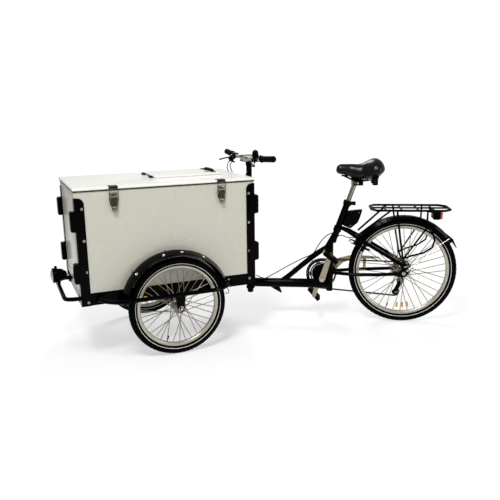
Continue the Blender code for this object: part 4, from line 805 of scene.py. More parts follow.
class Hardware:
    """Bought-in bolts, nuts and beads, each standing on a face and pointing out of it."""

    @staticmethod
    def button(at: Point, out: Point, radius: float = 0.0070) -> Piece:
        """A round-headed socket bolt on its washer.

        Args:
            at: The point of the face under its middle.
            out: The direction out of the face.
            radius: The radius of its head.

        Returns:
            The piece.
        """
        base, way, tall = Vector(at), Vector(out).normalized(), 0.0048
        washer = Bench.rod(base - way * 0.0006, base + way * 0.0011, radius * 1.3, 22)
        head = Bench.rod(base + way * 0.0009, base + way * tall, radius, 22, radius * 0.66)
        Bench.inset(head, way, radius * 0.28, tall * 0.35)
        Bench.soften(head, radius * 0.09, 2)
        return Bench.join([washer, head])

    @staticmethod
    def screw(at: Point, out: Point, radius: float = 0.0038) -> Piece:
        """A countersunk cross-head screw, nearly flush with its face.

        Args:
            at: The point of the face under its middle.
            out: The direction out of the face.
            radius: The radius of its head.

        Returns:
            The piece.
        """
        base, way = Vector(at), Vector(out).normalized()
        head = Bench.rod(base - way * 0.0010, base + way * 0.0009, radius, 18, radius * 0.86)
        return Bench.soften(Bench.inset(head, way, radius * 0.45, 0.0008), 0.0002, 1)

    @staticmethod
    def acorn(at: Point, out: Point, radius: float = 0.0105) -> Piece:
        """A domed nut on its washer.

        Args:
            at: The point of the face under its middle.
            out: The direction out of the face.
            radius: The radius over its corners.

        Returns:
            The piece.
        """
        base, way = Vector(at), Vector(out).normalized()
        washer = Bench.rod(base, base + way * 0.0018, radius * 1.25, 24)
        nut = Bench.soften(Bench.rod(base + way * 0.0016, base + way * 0.0082, radius, 6), 0.0007, 2)
        dome = Bench.rod(base + way * 0.0078, base + way * 0.0150, radius * 0.80, 24, radius * 0.40)
        return Bench.join([washer, nut, Bench.soften(dome, radius * 0.26, 4)])

    @staticmethod
    def bead(centre: Point, axis: Point, radius: float, thick: float = 0.0020) -> Piece:
        """A weld bead round a tube, rippled where the weld was laid in steps.

        Args:
            centre: The middle of the ring.
            axis: The tube's direction.
            radius: The radius of the ring.
            thick: The radius of the bead.

        Returns:
            The piece.
        """
        turn = Vector((0.0, 0.0, 1.0)).rotation_difference(Vector(axis).normalized())
        route = []
        count = 36
        for number in range(count):
            angle = 2 * math.pi * number / count
            ripple = radius + (0.0004 if number % 2 else -0.0002)
            local = Vector((ripple * math.cos(angle), ripple * math.sin(angle), 0.0))
            route.append(Vector(centre) + turn @ local)
        return Bench.tube(route, thick, 2, 2, True)


@dataclass(kw_only=True)
class Assembly:
    """Pieces that are drawn in one layout and, where nothing else is said, ride on one body."""

    body: str = "carrier"
    place: Place = Place.CARRIER

    def fit(
        self,
        name: str,
        pieces: Piece | Sequence[Piece],
        finish: Finish,
        body: str | None = None,
        slot: str | None = None,
        replaces: Sequence[str] = (),
    ) -> Piece:
        """Join finished pieces, set them in the world, dress them and let them ride on their body.

        Args:
            name: The name of the whole.
            pieces: The piece or pieces, in the layout's own place.
            finish: Their finish.
            body: The CAD body that they move with, where it isn't the assembly's.
            slot: The record's material slot, where there is one for it; not used.
            replaces: CAD nodes that they stand for.

        Returns:
            The joined piece.
        """
        piece = Bench.join([pieces] if isinstance(pieces, Piece) else list(pieces))
        piece.name = piece.data.name = name
        piece.data.transform(self.place.matrix())
        piece.data.materials.clear()
        piece.data.materials.append(finish.material())
        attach(piece, body or self.body)
        if replaces:
            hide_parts(*replaces)
        log.info("%s: %d faces on %s", name, len(piece.data.polygons), body or self.body)
        return piece

    def fasten(
        self,
        name: str,
        places: Sequence[tuple[Point, Point]],
        finish: Finish = Finishes.zinc,
        make: Callable[..., Piece] = Hardware.button,
        body: str | None = None,
        **sizes: float,
    ) -> None:
        """Fit several bolts, nuts or screws of one kind.

        Args:
            name: The name of the whole.
            places: The point and the outward direction of each.
            finish: Their finish.
            make: The maker of one of them.
            body: The CAD body that they move with, where it isn't the assembly's.
            sizes: Their radius, where it isn't the usual one.
        """
        self.fit(name, [make(at, out, **sizes) for at, out in places], finish, body)


@dataclass(kw_only=True)
class Wheel(Assembly):
    """A spoked wheel: rim, laced spokes with nipples, hub, tyre with tread and reflective band."""

    name: str
    centre: Point
    radius: float
    rim_radius: float
    flange_radius: float
    flanges: tuple[float, float]
    hub_profile: Profile
    nodes: tuple[str, str]
    reflectors: Sequence[float]
    reflector_radius: float
    reflector_size: Point = (0.022, 0.010, 0.030)
    side_spokes: int = 18
    spoke_radius: float = 0.0020
    spoke_lead: float = 62.0
    tyre_width: float = 0.044
    lugs: int = 72
    lug_rows: Sequence[float] = (-0.0135, -0.0048, 0.0048, 0.0135)
    lug_slant: float = 24.0
    band_shares: Sequence[float] = (0.25, 0.275, 0.30)
    steps: int = 96
    valve_degrees: float = 250.0

    @property
    def casing(self) -> tuple[float, float]:
        """The radii of the middle and of the crown of the tyre's casing."""
        return self.rim_radius + (self.radius - self.rim_radius) * 0.46, self.radius - 0.0022

    def at(self, radius: float, degrees: float, across: float = 0.0) -> Point:
        """A point of the wheel.

        Args:
            radius: Its distance from the axle.
            degrees: Its angle from +X towards +Z.
            across: Its distance along the axle from the middle plane.

        Returns:
            The point in the wheel's layout.
        """
        angle = math.radians(degrees)
        x, y, z = self.centre
        return (x + radius * math.cos(angle), y + across, z + radius * math.sin(angle))

    def build(self) -> None:
        """Make and dress every piece of the wheel."""
        wheel_node, tyre_node = self.nodes
        self.fit(f"{self.name}_rim", self.rim(), Finishes.rim, slot="alloy", replaces=[wheel_node])
        self.fit(f"{self.name}_spokes", self.spokes(), Finishes.spoke, slot="steel")
        self.fit(f"{self.name}_nipples", self.nipples(), Finishes.zinc, slot="steel")
        hub = Bench.soften(Bench.lathe(self.hub_profile, self.centre), 0.0008, 2, 35.0)
        self.fit(f"{self.name}_hub", hub, Finishes.hub, slot="alloy")
        self.fit(f"{self.name}_tyre", self.tyre(), Finishes.tyre, slot="rubber", replaces=[tyre_node])
        self.fit(f"{self.name}_tread", self.tread(), Finishes.tyre, slot="rubber")
        self.fit(f"{self.name}_band", self.band(), Finishes.stripe)
        self.fit(f"{self.name}_valve", self.valve(), Finishes.sheath)
        for number, degrees in enumerate(self.reflectors):
            self.fit(f"{self.name}_reflector_{number}", self.reflector(degrees), Finishes.amber)

    def turned(self, profile: Profile) -> Piece:
        """A profile turned about the axle, as finely as the tyre."""
        return Bench.lathe(profile, self.centre, Axis.Y, self.steps)

    def rim(self) -> Piece:
        """The box-section rim with its hooked edges and braking tracks, from depths and half widths.

        Returns:
            The piece.
        """
        bed = [(0.0, 0.0125), (0.0, 0.0108), (0.0052, 0.0102), (0.0060, 0.0040)]
        wall = [(0.0030, 0.0132), (0.0105, 0.0118), (0.0150, 0.0080), (0.0172, 0.0030)]
        near = [(depth, -half) for depth, half in bed]
        far_wall = [(depth, -half) for depth, half in wall]
        section = near + [(0.0068, 0.0)] + bed[::-1] + wall + far_wall[::-1]
        return self.turned([(self.rim_radius - depth, half) for depth, half in section])

    def lacing(self) -> list[tuple[Point, Point]]:
        """Both ends of every spoke, from the hub's flanges to the rim.

        Returns:
            The inner and the outer end of each spoke.
        """
        ends = []
        for side, flange in enumerate(self.flanges):
            for number in range(self.side_spokes):
                degrees = 360.0 / self.side_spokes * (number + side / 2)
                lean = 1.0 if number % 2 else -1.0
                inner = self.at(self.flange_radius, degrees + self.spoke_lead * lean, flange + 0.0024 * lean)
                outer = self.at(self.rim_radius - 0.0165, degrees, 0.0025 * (1 - 2 * side))
                ends.append((inner, outer))
        return ends

    def spokes(self) -> Piece:
        """All spokes, each with a bent head that goes through its flange.

        Returns:
            The piece.
        """
        wires = []
        middle = self.centre[1] + sum(self.flanges) / 2
        for inner, outer in self.lacing():
            wires.append(Bench.rod(inner, outer, self.spoke_radius, 7))
            outward = 0.0030 if inner[1] > middle else -0.0030
            head, tail = ((inner[0], inner[1] + way * outward, inner[2]) for way in (1, -1))
            wires.append(Bench.rod(tail, head, 0.0019, 7, 0.0023))
        made = Bench.join(wires)
        Bench.smooth(60.0)
        return made

    def nipples(self) -> list[Piece]:
        """The nipples that hold the spokes in the rim.

        Returns:
            The pieces.
        """
        made = []
        for inner, outer in self.lacing():
            run = (Vector(outer) - Vector(inner)).normalized()
            made.append(Bench.rod(Vector(outer) - run * 0.0115, outer, 0.0019, 6, 0.0024))
        return made

    def tyre(self) -> Piece:
        """The tyre's round casing, its sidewalls reaching into the rim.

        Returns:
            The piece.
        """
        middle, crown = self.casing
        edge = ((-0.0045, 0.0100), (0.0010, 0.0118), (0.0050, 0.0150))
        profile = [(self.rim_radius + rise, half) for rise, half in edge]
        for degrees in range(-38, 91, 8):
            angle = math.radians(degrees)
            rise = (crown - middle) * math.sin(angle)
            profile.append((middle + rise, self.tyre_width / 2 * math.cos(angle)))
        return self.turned(profile + [(crown, 0.0)] + [(r, -h) for r, h in reversed(profile)])

    def tread(self) -> list[Piece]:
        """Rows of small slanted tread blocks round the tyre's crown.

        Returns:
            The pieces.
        """
        rows = []
        x, y, z = self.centre
        long = math.pi * self.radius / self.lugs * 0.62
        for row, across in enumerate(self.lug_rows):
            sink, lower = (0.0047, 0.0030) if abs(across) > 0.01 else (0.0012, 0.0001)
            side, top = y + across, z + self.radius - lower
            low = (x - long, side - 0.0034, top - sink - 0.0016)
            lug = Bench.block(low, (x + long, side + 0.0034, top))
            slant = Matrix.Rotation(math.radians(math.copysign(self.lug_slant, across)), 4, "Z")
            tilt = Matrix.Rotation(math.radians(-1300.0 * across), 4, "X")
            Bench.move(lug, Bench.about((x, side, top - 0.002), tilt @ slant))
            stagger = Matrix.Rotation(math.pi / self.lugs * (row % 2), 4, "Y")
            Bench.move(lug, Bench.about(self.centre, stagger))
            rows.append(Bench.ring_of(lug, self.lugs, self.centre))
        return rows

    def band(self) -> list[Piece]:
        """The thin reflective band on both sidewalls.

        Returns:
            The pieces.
        """
        middle, crown = self.casing
        outside = []
        for share in self.band_shares:
            radius = self.rim_radius + (self.radius - self.rim_radius) * share
            lean = math.asin((radius - middle) / (crown - middle))
            outside.append((radius, self.tyre_width / 2 * math.cos(lean)))
        profile = [(radius, height + 0.0006) for radius, height in outside]
        profile += [(radius, height - 0.0006) for radius, height in reversed(outside)]
        return [self.turned([(radius, side * height) for radius, height in profile]) for side in (1, -1)]

    def valve(self) -> list[Piece]:
        """The valve stem and its cap inside the rim.

        Returns:
            The pieces.
        """
        depths = (0.014, 0.036, 0.048)
        start, neck, end = (self.at(self.rim_radius - depth, self.valve_degrees) for depth in depths)
        return [Bench.rod(start, neck, 0.0032, 14), Bench.rod(neck, end, 0.0043, 10, 0.0034)]

    def reflector(self, degrees: float) -> Piece:
        """One amber reflector clipped between the spokes.

        Args:
            degrees: Where it is round the wheel.

        Returns:
            The piece.
        """
        half = Vector(self.reflector_size) / 2
        middle = Vector(self.centre) + Vector((self.reflector_radius, 0.0, 0.0))
        made = Bench.block(middle - half, middle + half)
        thin = min(self.reflector_size)
        Bench.inset(made, (0, 1, 0), thin * 0.22, 0.0009, True)
        Bench.soften(made, thin * 0.16, 3)
        return Bench.move(made, Bench.about(self.centre, Matrix.Rotation(math.radians(-degrees), 4, "Y")))


# A wide drum between two flanges, with narrow ends, as radius and distance outwards.
FRONT_HUB = (
    (0.0056, -0.0675), (0.0100, -0.0675), (0.0106, -0.0560), (0.0130, -0.0480), (0.0170, -0.0400),
    (0.0300, -0.0352), (0.0312, -0.0340), (0.0312, -0.0275), (0.0295, -0.0262), (0.0205, -0.0225),
    (0.0185, -0.0200), (0.0185, 0.0200), (0.0205, 0.0225), (0.0295, 0.0262), (0.0312, 0.0275),
    (0.0312, 0.0340), (0.0300, 0.0352), (0.0160, 0.0405), (0.0140, 0.0410), (0.0100, 0.0480),
    (0.0056, 0.0480),
)
# A plain shell between two flanges, with room for the cassette.
REAR_HUB = (
    (0.0056, -0.0620), (0.0090, -0.0620), (0.0096, -0.0500), (0.0110, -0.0420), (0.0290, -0.0375),
    (0.0300, -0.0365), (0.0300, -0.0292), (0.0285, -0.0280), (0.0170, -0.0245), (0.0155, -0.0200),
    (0.0155, 0.0000), (0.0285, 0.0068), (0.0300, 0.0080), (0.0300, 0.0160), (0.0285, 0.0170),
    (0.0125, 0.0195), (0.0110, 0.0215), (0.0110, 0.0230), (0.0056, 0.0230),
)
SPOKE_DISC = ((0.0115, 0.0205), (0.0700, 0.0196), (0.0714, 0.0205), (0.0700, 0.0214), (0.0115, 0.0222))


def build_wheels() -> None:
    """The three wheels of the cart."""
    x, z = FRONT_AXLE
    for tag, side in zip(("left", "right"), SIDES):
        Wheel(
            name=f"front_{tag}",
            body=f"front_wheel_{tag}",
            centre=(x, side * 0.34, z),
            radius=z,
            rim_radius=0.2105,
            flange_radius=0.0262,
            flanges=(-0.030, 0.030),
            hub_profile=[(radius, side * height) for radius, height in FRONT_HUB],
            nodes=(f"front_wheel_{tag}", f"front_tyre_{tag}"),
            reflectors=(161.0,) if side < 0 else (161.0, 20.0),
            reflector_radius=0.174,
        ).build()
    x, z = REAR_AXLE
    rear = Wheel(
        name="back",
        body="rear_wheel",
        place=Place.BICYCLE,
        centre=(x, 0.0, z),
        radius=z,
        rim_radius=0.2605,
        flange_radius=0.0240,
        flanges=(-0.033, 0.012),
        hub_profile=REAR_HUB,
        nodes=("rear_wheel", "rear_tyre"),
        steps=108,
        reflectors=(264.4, 273.1, 280.8),
        reflector_radius=0.209,
        reflector_size=(0.029, 0.009, 0.0105),
    )
    rear.build()
    rear.fit("spoke_guard_disc", Bench.lathe(SPOKE_DISC, rear.centre, Axis.Y, 64), Finishes.clear)


@dataclass(kw_only=True)
class Saddle(Assembly):
    """The padded saddle with its welted panels, pan, rails and rear bumpers."""

    body: str = "seat"
    place: Place = Place.BICYCLE
    nose: float = 0.4905
    tail: float = 0.7575
    widths: Profile = ((0.0, 0.024), (0.25, 0.027), (0.50, 0.046), (0.78, 0.094), (0.90, 0.100), (1.0, 0.098))
    tops: Profile = ((0.0, 0.910), (0.20, 0.910), (0.42, 0.911), (0.80, 0.944), (0.90, 0.942), (1.0, 0.934))
    bottoms: Profile = (
        (0.0, 0.856), (0.15, 0.852), (0.44, 0.822), (0.66, 0.824), (0.86, 0.836), (1.0, 0.852)
    )
    nose_round: float = 0.027
    tail_round: float = 0.056
    rail_half: float = 0.0215
    bumper_x: float = 0.7035
    bumper_y: float = 0.044
    bumper_ribs: int = 4
    rail_radius: float = 0.0039
    seam_radius: float = 0.0006
    clamp_x: float = 0.6090
    clamp_z: float = 0.8075
    fill: float = 0.85

    @staticmethod
    def read(table: Profile, share: float) -> float:
        """The smooth value of a profile.

        Args:
            table: Places along the saddle from 0 to 1, each with its value.
            share: The place to read.

        Returns:
            The value there.
        """
        for (before, first), (after, second) in zip(table, table[1:]):
            if share <= after:
                part = (share - before) / (after - before)
                return first + (second - first) * part * part * (3 - 2 * part)
        return table[-1][1]

    def skin(self, along: float, degrees: float) -> Vector:
        """A point of the padded skin.

        Args:
            along: The place from the nose, 0, to the tail, 1.
            degrees: The angle round the saddle, 90 on top.

        Returns:
            The point in the bicycle's layout.
        """
        share = min(1.0, max(0.0, along))
        length = self.tail - self.nose
        near_nose = max(0.0, 1 - share * length / self.nose_round)
        near_tail = max(0.0, 1 - (1 - share) * length / self.tail_round)
        full = math.sqrt(max(0.0, 1 - near_nose**2.4)) * math.sqrt(max(0.0, 1 - near_tail**2.4))
        cosine, sine = math.cos(math.radians(degrees)), math.sin(math.radians(degrees))
        wide = self.read(self.widths, share) * full
        high, low = self.read(self.tops, share), self.read(self.bottoms, share)
        waist = low + (high - low) * 0.34
        x = self.nose + length * share
        if sine >= 0:
            middle = math.exp(-((cosine * wide / 0.022) ** 2))
            dip = 0.0034 * middle * full * min(1.0, max(0.0, (share - 0.30) / 0.25))
            return Vector((x, cosine * wide, waist + (high - waist) * full * sine - dip * sine))
        return Vector((x, cosine * wide * (1 + 0.30 * sine), waist + (waist - low) * full * sine))

    def build(self) -> None:
        """Make and dress every piece of the saddle."""
        cover = self.fit("saddle_cover", self.cover(), Finishes.vinyl, slot="vinyl", replaces=["saddle"])
        self.fit("saddle_seams", self.seams(), Finishes.vinyl, slot="vinyl")
        self.fit("saddle_pan", self.pan(), Finishes.black_plastic, slot="black_plastic")
        self.fit("saddle_bumpers", self.bumpers(), Finishes.grip, slot="rubber")
        cups = []
        for side in SIDES:
            x, y = self.bumper_x, side * self.bumper_y
            cups.append(Bench.rod((x, y, 0.8340), (x, y, 0.8480), 0.0185, 32, 0.0205))
        self.fit("saddle_bumper_cups", Bench.soften(Bench.join(cups), 0.0010), Finishes.black_plastic)
        self.fit("saddle_rails", self.rails(), Finishes.gloss_black, slot="black_paint")
        self.fit("saddle_clamp", self.clamp(), Finishes.gloss_black, slot="black_paint")
        self.fit("saddle_clamp_bolt", self.clamp_bolt(), Finishes.zinc, slot="steel")

    def cover(self) -> Piece:
        """The crowned cover, shaped from a sphere.

        Returns:
            The piece.
        """
        Bench.put_aside()
        bpy.ops.mesh.primitive_uv_sphere_add(
            segments=96, ring_count=80, radius=1.0, rotation=(0.0, math.pi / 2, 0.0)
        )
        piece = Bench.settled()
        for vert in piece.data.vertices:
            x, y, z = vert.co
            vert.co = self.skin(0.5 + 0.5 * x, math.degrees(math.atan2(z, y)))
        Bench.tidy(piece)
        bpy.ops.object.shade_smooth()
        swell = piece.modifiers.new("fine_skin", "SUBSURF")
        swell.levels = swell.render_levels = 1
        bpy.ops.object.modifier_apply(modifier=swell.name)
        return piece

    def seams(self) -> list[Piece]:
        """The two welted seams between the top panels and the sides.

        Returns:
            The pieces.
        """
        welts = []
        for side in SIDES:
            line = []
            for number in range(0, 90, 6):
                share = 0.30 + 0.56 * number / 89
                spread = 52.0 - 14.0 * math.sin(math.pi * min(1.0, share * 1.05))
                line.append(self.skin(share, 90.0 + side * spread))
            welts.append(Bench.tube(line, self.seam_radius, 2, 4))
        return welts

    def pan(self) -> Piece:
        """The moulded pan under the padding, with stiffening ribs.

        Returns:
            The piece.
        """
        ribs = []
        for share in (0.22, 0.36, 0.50, 0.64):
            wide = self.read(self.widths, share) * 0.72
            x = self.nose + (self.tail - self.nose) * share
            low = self.read(self.bottoms, share) - 0.0025
            ribs.append(Bench.block((x - 0.002, -wide, low), (x + 0.002, wide, low + 0.008)))
        ribs.append(Bench.block((0.520, -0.003, 0.8415), (0.690, 0.003, 0.8500)))
        ribs.append(Bench.block((0.575, -0.0180, 0.8225), (0.632, 0.0180, 0.8480)))
        return Bench.soften(Bench.join(ribs), 0.0008)

    def bumpers(self) -> list[Piece]:
        """The two ribbed rubber bumpers under the tail.

        Returns:
            The pieces.
        """
        profile = [(0.0035, 0.0400)]
        for number in range(self.bumper_ribs):
            base = 0.0385 - number * 0.0105
            profile += [(0.0148, base), (0.0162, base - 0.0022)]
            profile += [(0.0162, base - 0.0062), (0.0148, base - 0.0084)]
        profile += [(0.0035, -0.0040)]
        centres = [(self.bumper_x, side * self.bumper_y, 0.8005) for side in SIDES]
        return [Bench.lathe(profile, centre, Axis.Z, 32) for centre in centres]

    def rails(self) -> list[Piece]:
        """The two rails from the nose through the clamp to the bumpers.

        Returns:
            The pieces.
        """
        half = self.rail_half
        route = [
            (0.530, 0.0100, 0.8465), (0.552, 0.0140, 0.8360), (0.580, 0.0185, 0.8235),
            (0.597, half, 0.8180), (0.620, half, 0.8172), (0.640, half, 0.8180),
            (0.668, 0.0290, 0.8225), (0.695, 0.0380, 0.8285), (0.7035, 0.0430, 0.8320),
        ]
        routes = [[(x, side * y, z) for x, y, z in route] for side in SIDES]
        return [Bench.tube(route, self.rail_radius, 3, 5) for route in routes]

    def clamp(self) -> list[Piece]:
        """The clamp round the seat post's head, with its side plates and drums.

        Returns:
            The pieces.
        """
        x, z = self.clamp_x, self.clamp_z
        parts = []
        for side in SIDES:
            inner, outer = sorted((side * 0.0245, side * 0.0290))
            plate = Bench.block((0.5870, inner, 0.7930), (0.6400, outer, 0.8260))
            drum = Bench.rod((x, side * 0.0285, z), (x, side * 0.0345, z), 0.0115, 24)
            parts += [Bench.soften(plate, 0.0050, 4), Bench.soften(drum, 0.0012)]
        return parts

    def clamp_bolt(self) -> Piece:
        """The clamp's through bolt with a nut at each end.

        Returns:
            The piece.
        """
        parts = []
        for side in SIDES:
            start, end, tip = ((self.clamp_x, side * y, self.clamp_z) for y in (0.0340, 0.0395, 0.0420))
            parts += [Bench.rod(start, end, 0.0072, 6), Bench.rod(end, tip, 0.0038, 14)]
        return Bench.soften(Bench.join(parts), 0.0004, 1)


@dataclass(kw_only=True)
class BoxTrim(Assembly):
    """What is fastened to the cargo box: bolts, screws, lid fittings, latch and lamp details, and strips
    painted as shadow and shade along the lid and hatch edges.
    """

    front: float = -1.006
    rear: float = -0.095
    half: float = 0.280
    rail_bottom: float = 0.293
    lid_bottom: float = 0.853
    lid_top: float = 0.868
    hatch_top: float = 0.8783
    hatch: tuple[float, float, float, float] = (-0.560, -0.190, -0.060, 0.225)
    latches: tuple[float, float] = (-0.823, -0.277)
    post_bolts: int = 4
    post_pitch: float = 0.153
    rear_rise: float = 0.018
    block_heights: tuple[float, float] = (0.458, 0.711)
    block_step: float = 0.030
    fender_radius: float = 0.2793
    fender_degrees: Sequence[float] = (59.6, 84.2, 103.4, 136.4)

    def build(self) -> None:
        """Fit everything."""
        self.posts()
        self.rails()
        self.fenders()
        self.edge_shade_strips()
        self.screws()
        self.pull()
        self.hatch_lock()
        for tag, x in zip(("front", "rear"), self.latches):
            self.lever_face(tag, x)
        self.latch_details()
        self.hook()
        self.corner_battens()
        self.headlamp()

    def posts(self) -> None:
        """Silver bolts down each corner post and black ones in its rounded blocks."""
        silver, black = [], []
        for side in SIDES:
            out = (0.0, side, 0.0)
            for end, inward, rise in ((self.front, 1.0, 0.0), (self.rear, -1.0, self.rear_rise)):
                for number in range(self.post_bolts):
                    z = self.rail_bottom + 0.018 + self.post_pitch * number + rise
                    silver.append(((end + inward * 0.031, side * (self.half + 0.0033), z), out))
                for middle in self.block_heights:
                    for up in SIDES:
                        z = middle + rise + up * self.block_step
                        black.append(((end - inward * 0.006, side * (self.half + 0.0093), z), out))
        self.fasten("post_bolts", silver, radius=0.0050)
        self.fasten("block_bolts", black, Finishes.satin_black, radius=0.0052)

    def rails(self) -> None:
        """Bolts through the lower rails, the stay flanges and the hoop's feet, and the axle nuts."""
        flange = self.half + 0.0045
        silver, nuts = [], []
        for side in SIDES:
            out = (0.0, side, 0.0)
            for x, y, z in ((-0.921, flange, 0.314), (-0.248, flange, 0.335), (-0.806, self.half, 0.324)):
                silver.append(((x, side * y, z), out))
            nuts.append(((FRONT_AXLE[0], side * 0.3955, FRONT_AXLE[1]), out))
            for step in (-0.0148, 0.0148):
                silver.append(((self.front - 0.0023, side * 0.212, 0.315 + step), (-1.0, 0.0, 0.0)))
        self.fasten("rail_bolts", silver, radius=0.0046)
        self.fasten("axle_acorn_nuts", nuts, Finishes.chrome, Hardware.acorn)

    def fenders(self) -> None:
        """The silver bolts along the outer slope of each front fender."""
        places = []
        for side in SIDES:
            for degrees in self.fender_degrees:
                cosine, sine = math.cos(math.radians(degrees)), math.sin(math.radians(degrees))
                x, z = FRONT_AXLE[0] + self.fender_radius * cosine, FRONT_AXLE[1] + self.fender_radius * sine
                out = (0.93 * cosine, side * 0.37, 0.93 * sine)
                places.append(((x, side * (self.half + 0.0706), z), out))
        self.fasten("fender_bolts", places, Finishes.chrome, radius=0.0062)

    def edge_shade_strips(self) -> None:
        """Dark strips painted as the shadow line under the lid's edge, and strips in the darkened board
        colour painted as the shade along the hatch's near and front edges.
        """
        # Painted shadow: dark strips standing out from the panels where the lid's edge throws its shadow
        # line.
        low, high = self.lid_bottom - 0.0045, self.lid_bottom + 0.0026
        out = 0.0022
        near, front, rear = -self.half - out, self.front - out, self.rear + out
        lid_shadow_strips = [
            Bench.block((front, near, low), (rear, near + 0.0020, high)),
            Bench.block((front, near + 0.0020, low), (self.front - 0.0002, self.half, high)),
            Bench.block((self.rear + 0.0002, near + 0.0020, low), (rear, self.half, high)),
        ]
        self.fit("lid_shadow_line", lid_shadow_strips, Finishes.painted_gap_shade)
        # Painted shade: strips of the darkened board colour along the hatch's near and front edges.
        x0, x1, y0, y1 = self.hatch
        low, high, out = self.lid_top - 0.0004, self.lid_top + 0.0032, 0.0012
        edges = [
            Bench.block((x0 - out, y0 - out, low), (x1 + out, y0 + 0.004, high)),
            Bench.block((x0 - out, y0 + 0.004, low), (x0 + 0.004, y1 + out, high)),
        ]
        self.fit("hatch_edge_shade", edges, Finishes.board_painted_shade, "lid")

    def screws(self) -> None:
        """Screws in the lid, the hatch, its pull and the side panel."""
        up, out, top = (0.0, 0.0, 1.0), (0.0, -1.0, 0.0), self.hatch_top
        lid = [((x, y, self.lid_top), up) for x, y in ((-0.966, 0.040), (-0.084, 0.158))]
        self.fasten("lid_screws", lid, make=Hardware.screw, body="lid", radius=0.0048)
        x0, x1, y0, y1 = self.hatch
        corners = [((x, y, top), up) for x in (x0 + 0.012, x1 - 0.045) for y in (y0 + 0.012, y1 - 0.012)]
        corners += [((x1 - 0.021, y, top + 0.0043), up) for y in (0.068, 0.197)]
        self.fasten("hatch_screws", corners, make=Hardware.screw, body="hatch")
        side = [((x, -self.half, z), out) for x, z in ((-0.619, 0.535), (-0.754, 0.448))]
        self.fasten("panel_screws", side, make=Hardware.screw, radius=0.0034)

    def pull(self) -> None:
        """The hatch's pull: a flat strip with a low round grip on it."""
        x, top = self.hatch[1] - 0.021, self.hatch_top
        strip = Bench.soften(Bench.block((x - 0.013, 0.002, top), (x + 0.013, 0.205, top + 0.0036)), 0.0012)
        rises = (
            (0.012, 0.002), (0.020, 0.0075), (0.045, 0.0100), (0.125, 0.0100), (0.148, 0.0075), (0.156, 0.002)
        )
        grip = Bench.tube([(x, y, top + rise) for y, rise in rises], 0.0058, 4, 5)
        self.fit("hatch_pull", [strip, grip], Finishes.satin_black, "hatch", replaces=["hatch_handle"])

    def hatch_lock(self) -> None:
        """The cam lock in the hatch, a turned bezel round a slotted barrel."""
        x, y, top = self.hatch[1] - 0.060, 0.020, self.hatch_top
        profile = [(0.0070, -0.0006), (0.0120, -0.0006), (0.0120, 0.0012), (0.0104, 0.0026), (0.0070, 0.0026)]
        bezel = Bench.lathe(profile, (x, y, top), Axis.Z, 32)
        barrel = Bench.rod((x, y, top - 0.0004), (x, y, top + 0.0018), 0.0069, 28)
        self.fit("hatch_lock", [bezel, barrel], Finishes.chrome, "hatch")
        # The key slot is a dark strip, painted as the shade in it.
        slot = Bench.block((x - 0.0042, y - 0.0008, top + 0.0012), (x + 0.0042, y + 0.0008, top + 0.0020))
        self.fit("lock_slot_shade", slot, Finishes.painted_gap_shade, "hatch")

    def latch_details(self) -> None:
        """Rivets in each latch base and the rolled lip on each keeper."""
        rivets, lips = [], []
        for x in self.latches:
            for step in (-0.0115, 0.0115):
                for z in (0.8335, 0.7825):
                    rivets.append(((x + step, -self.half - 0.0025, z), (0.0, -1.0, 0.0)))
            y, z = -self.half - 0.0098, self.lid_top - 0.0090
            lips.append(Bench.rod((x - 0.0175, y, z), (x + 0.0175, y, z), 0.0016, 16))
        self.fasten("latch_rivets", rivets, make=Hardware.screw, radius=0.0027)
        self.fit("keeper_lips", lips, Finishes.dark_iron, "lid")

    def lever_face(self, tag: str, x: float) -> None:
        """The bright tip of one latch, a polished roll placed as a painted highlight at the lever's bend, and
        dark strips painted as the shade in the lever's slot and in the hole of the back plate.

        Args:
            tag: front or rear.
            x: The middle of the latch.
        """
        lever, face, side = f"latch_lever_{tag}", -self.half - 0.0150, -self.half - 0.0024

        def plate(half: float, near: float, far: float, low: float, high: float) -> Piece:
            """A flat block across the latch, from its half width, its two faces and its height."""
            return Bench.block((x - half, near, low), (x + half, far, high))

        tip = Bench.soften(plate(0.0102, face - 0.0012, face + 0.0004, 0.7462, 0.7690), 0.0050, 4)
        self.fit(f"lever_tip_{tag}", tip, Finishes.tip, lever)
        # A polished roll where the lever bends, placed as a painted highlight.
        y, z = face - 0.0008, 0.7712
        roll = Bench.rod((x - 0.0110, y, z), (x + 0.0110, y, z), 0.0021, 16)
        self.fit(f"lever_roll_{tag}", roll, Finishes.chrome, lever)
        # A dark strip painted as the shade in the lever's slot.
        slot = plate(0.0125, face - 0.0004, face + 0.0004, 0.7742, 0.7778)
        self.fit(f"lever_slot_{tag}", slot, Finishes.painted_gap_shade, lever)
        back = Bench.soften(plate(0.0150, side - 0.0016, side + 0.0004, 0.8130, 0.8360), 0.0008)
        self.fit(f"latch_plate_{tag}", back, Finishes.tip)
        # A dark strip painted as the shade in the back plate's hole.
        hole_shade = plate(0.0085, side - 0.0021, side - 0.0010, 0.8225, 0.8290)
        self.fit(f"latch_hole_{tag}", hole_shade, Finishes.painted_gap_shade)

    def hook(self) -> None:
        """The open hook under the left rail."""
        bend = (
            (-0.247, self.rail_bottom + 0.002), (-0.247, 0.2790), (-0.2405, 0.2660),
            (-0.2475, 0.2560), (-0.2570, 0.2590), (-0.2580, 0.2660),
        )
        route = [(x, -self.half + 0.012, z) for x, z in bend]
        self.fit("rail_hook", Bench.tube(route, 0.0022, 4, 8), Finishes.dark_iron)

    def corner_battens(self) -> None:
        """Aluminium angles in the four upright corners inside the box."""
        legs = []
        for x, way in ((self.front + 0.0095, 1.0), (self.rear - 0.0095, -1.0)):
            for side in SIDES:
                y = side * (self.half - 0.0095)
                wide, thin = 0.022, 0.0016
                for xs, ys in (
                    ((x, x + way * wide), (y, y - side * thin)),
                    ((x, x + way * thin), (y - side * thin, y - side * wide)),
                ):
                    legs.append(Bench.block((min(xs), min(ys), 0.370), (max(xs), max(ys), 0.848)))
        self.fit("corner_battens", legs, Finishes.alloy)

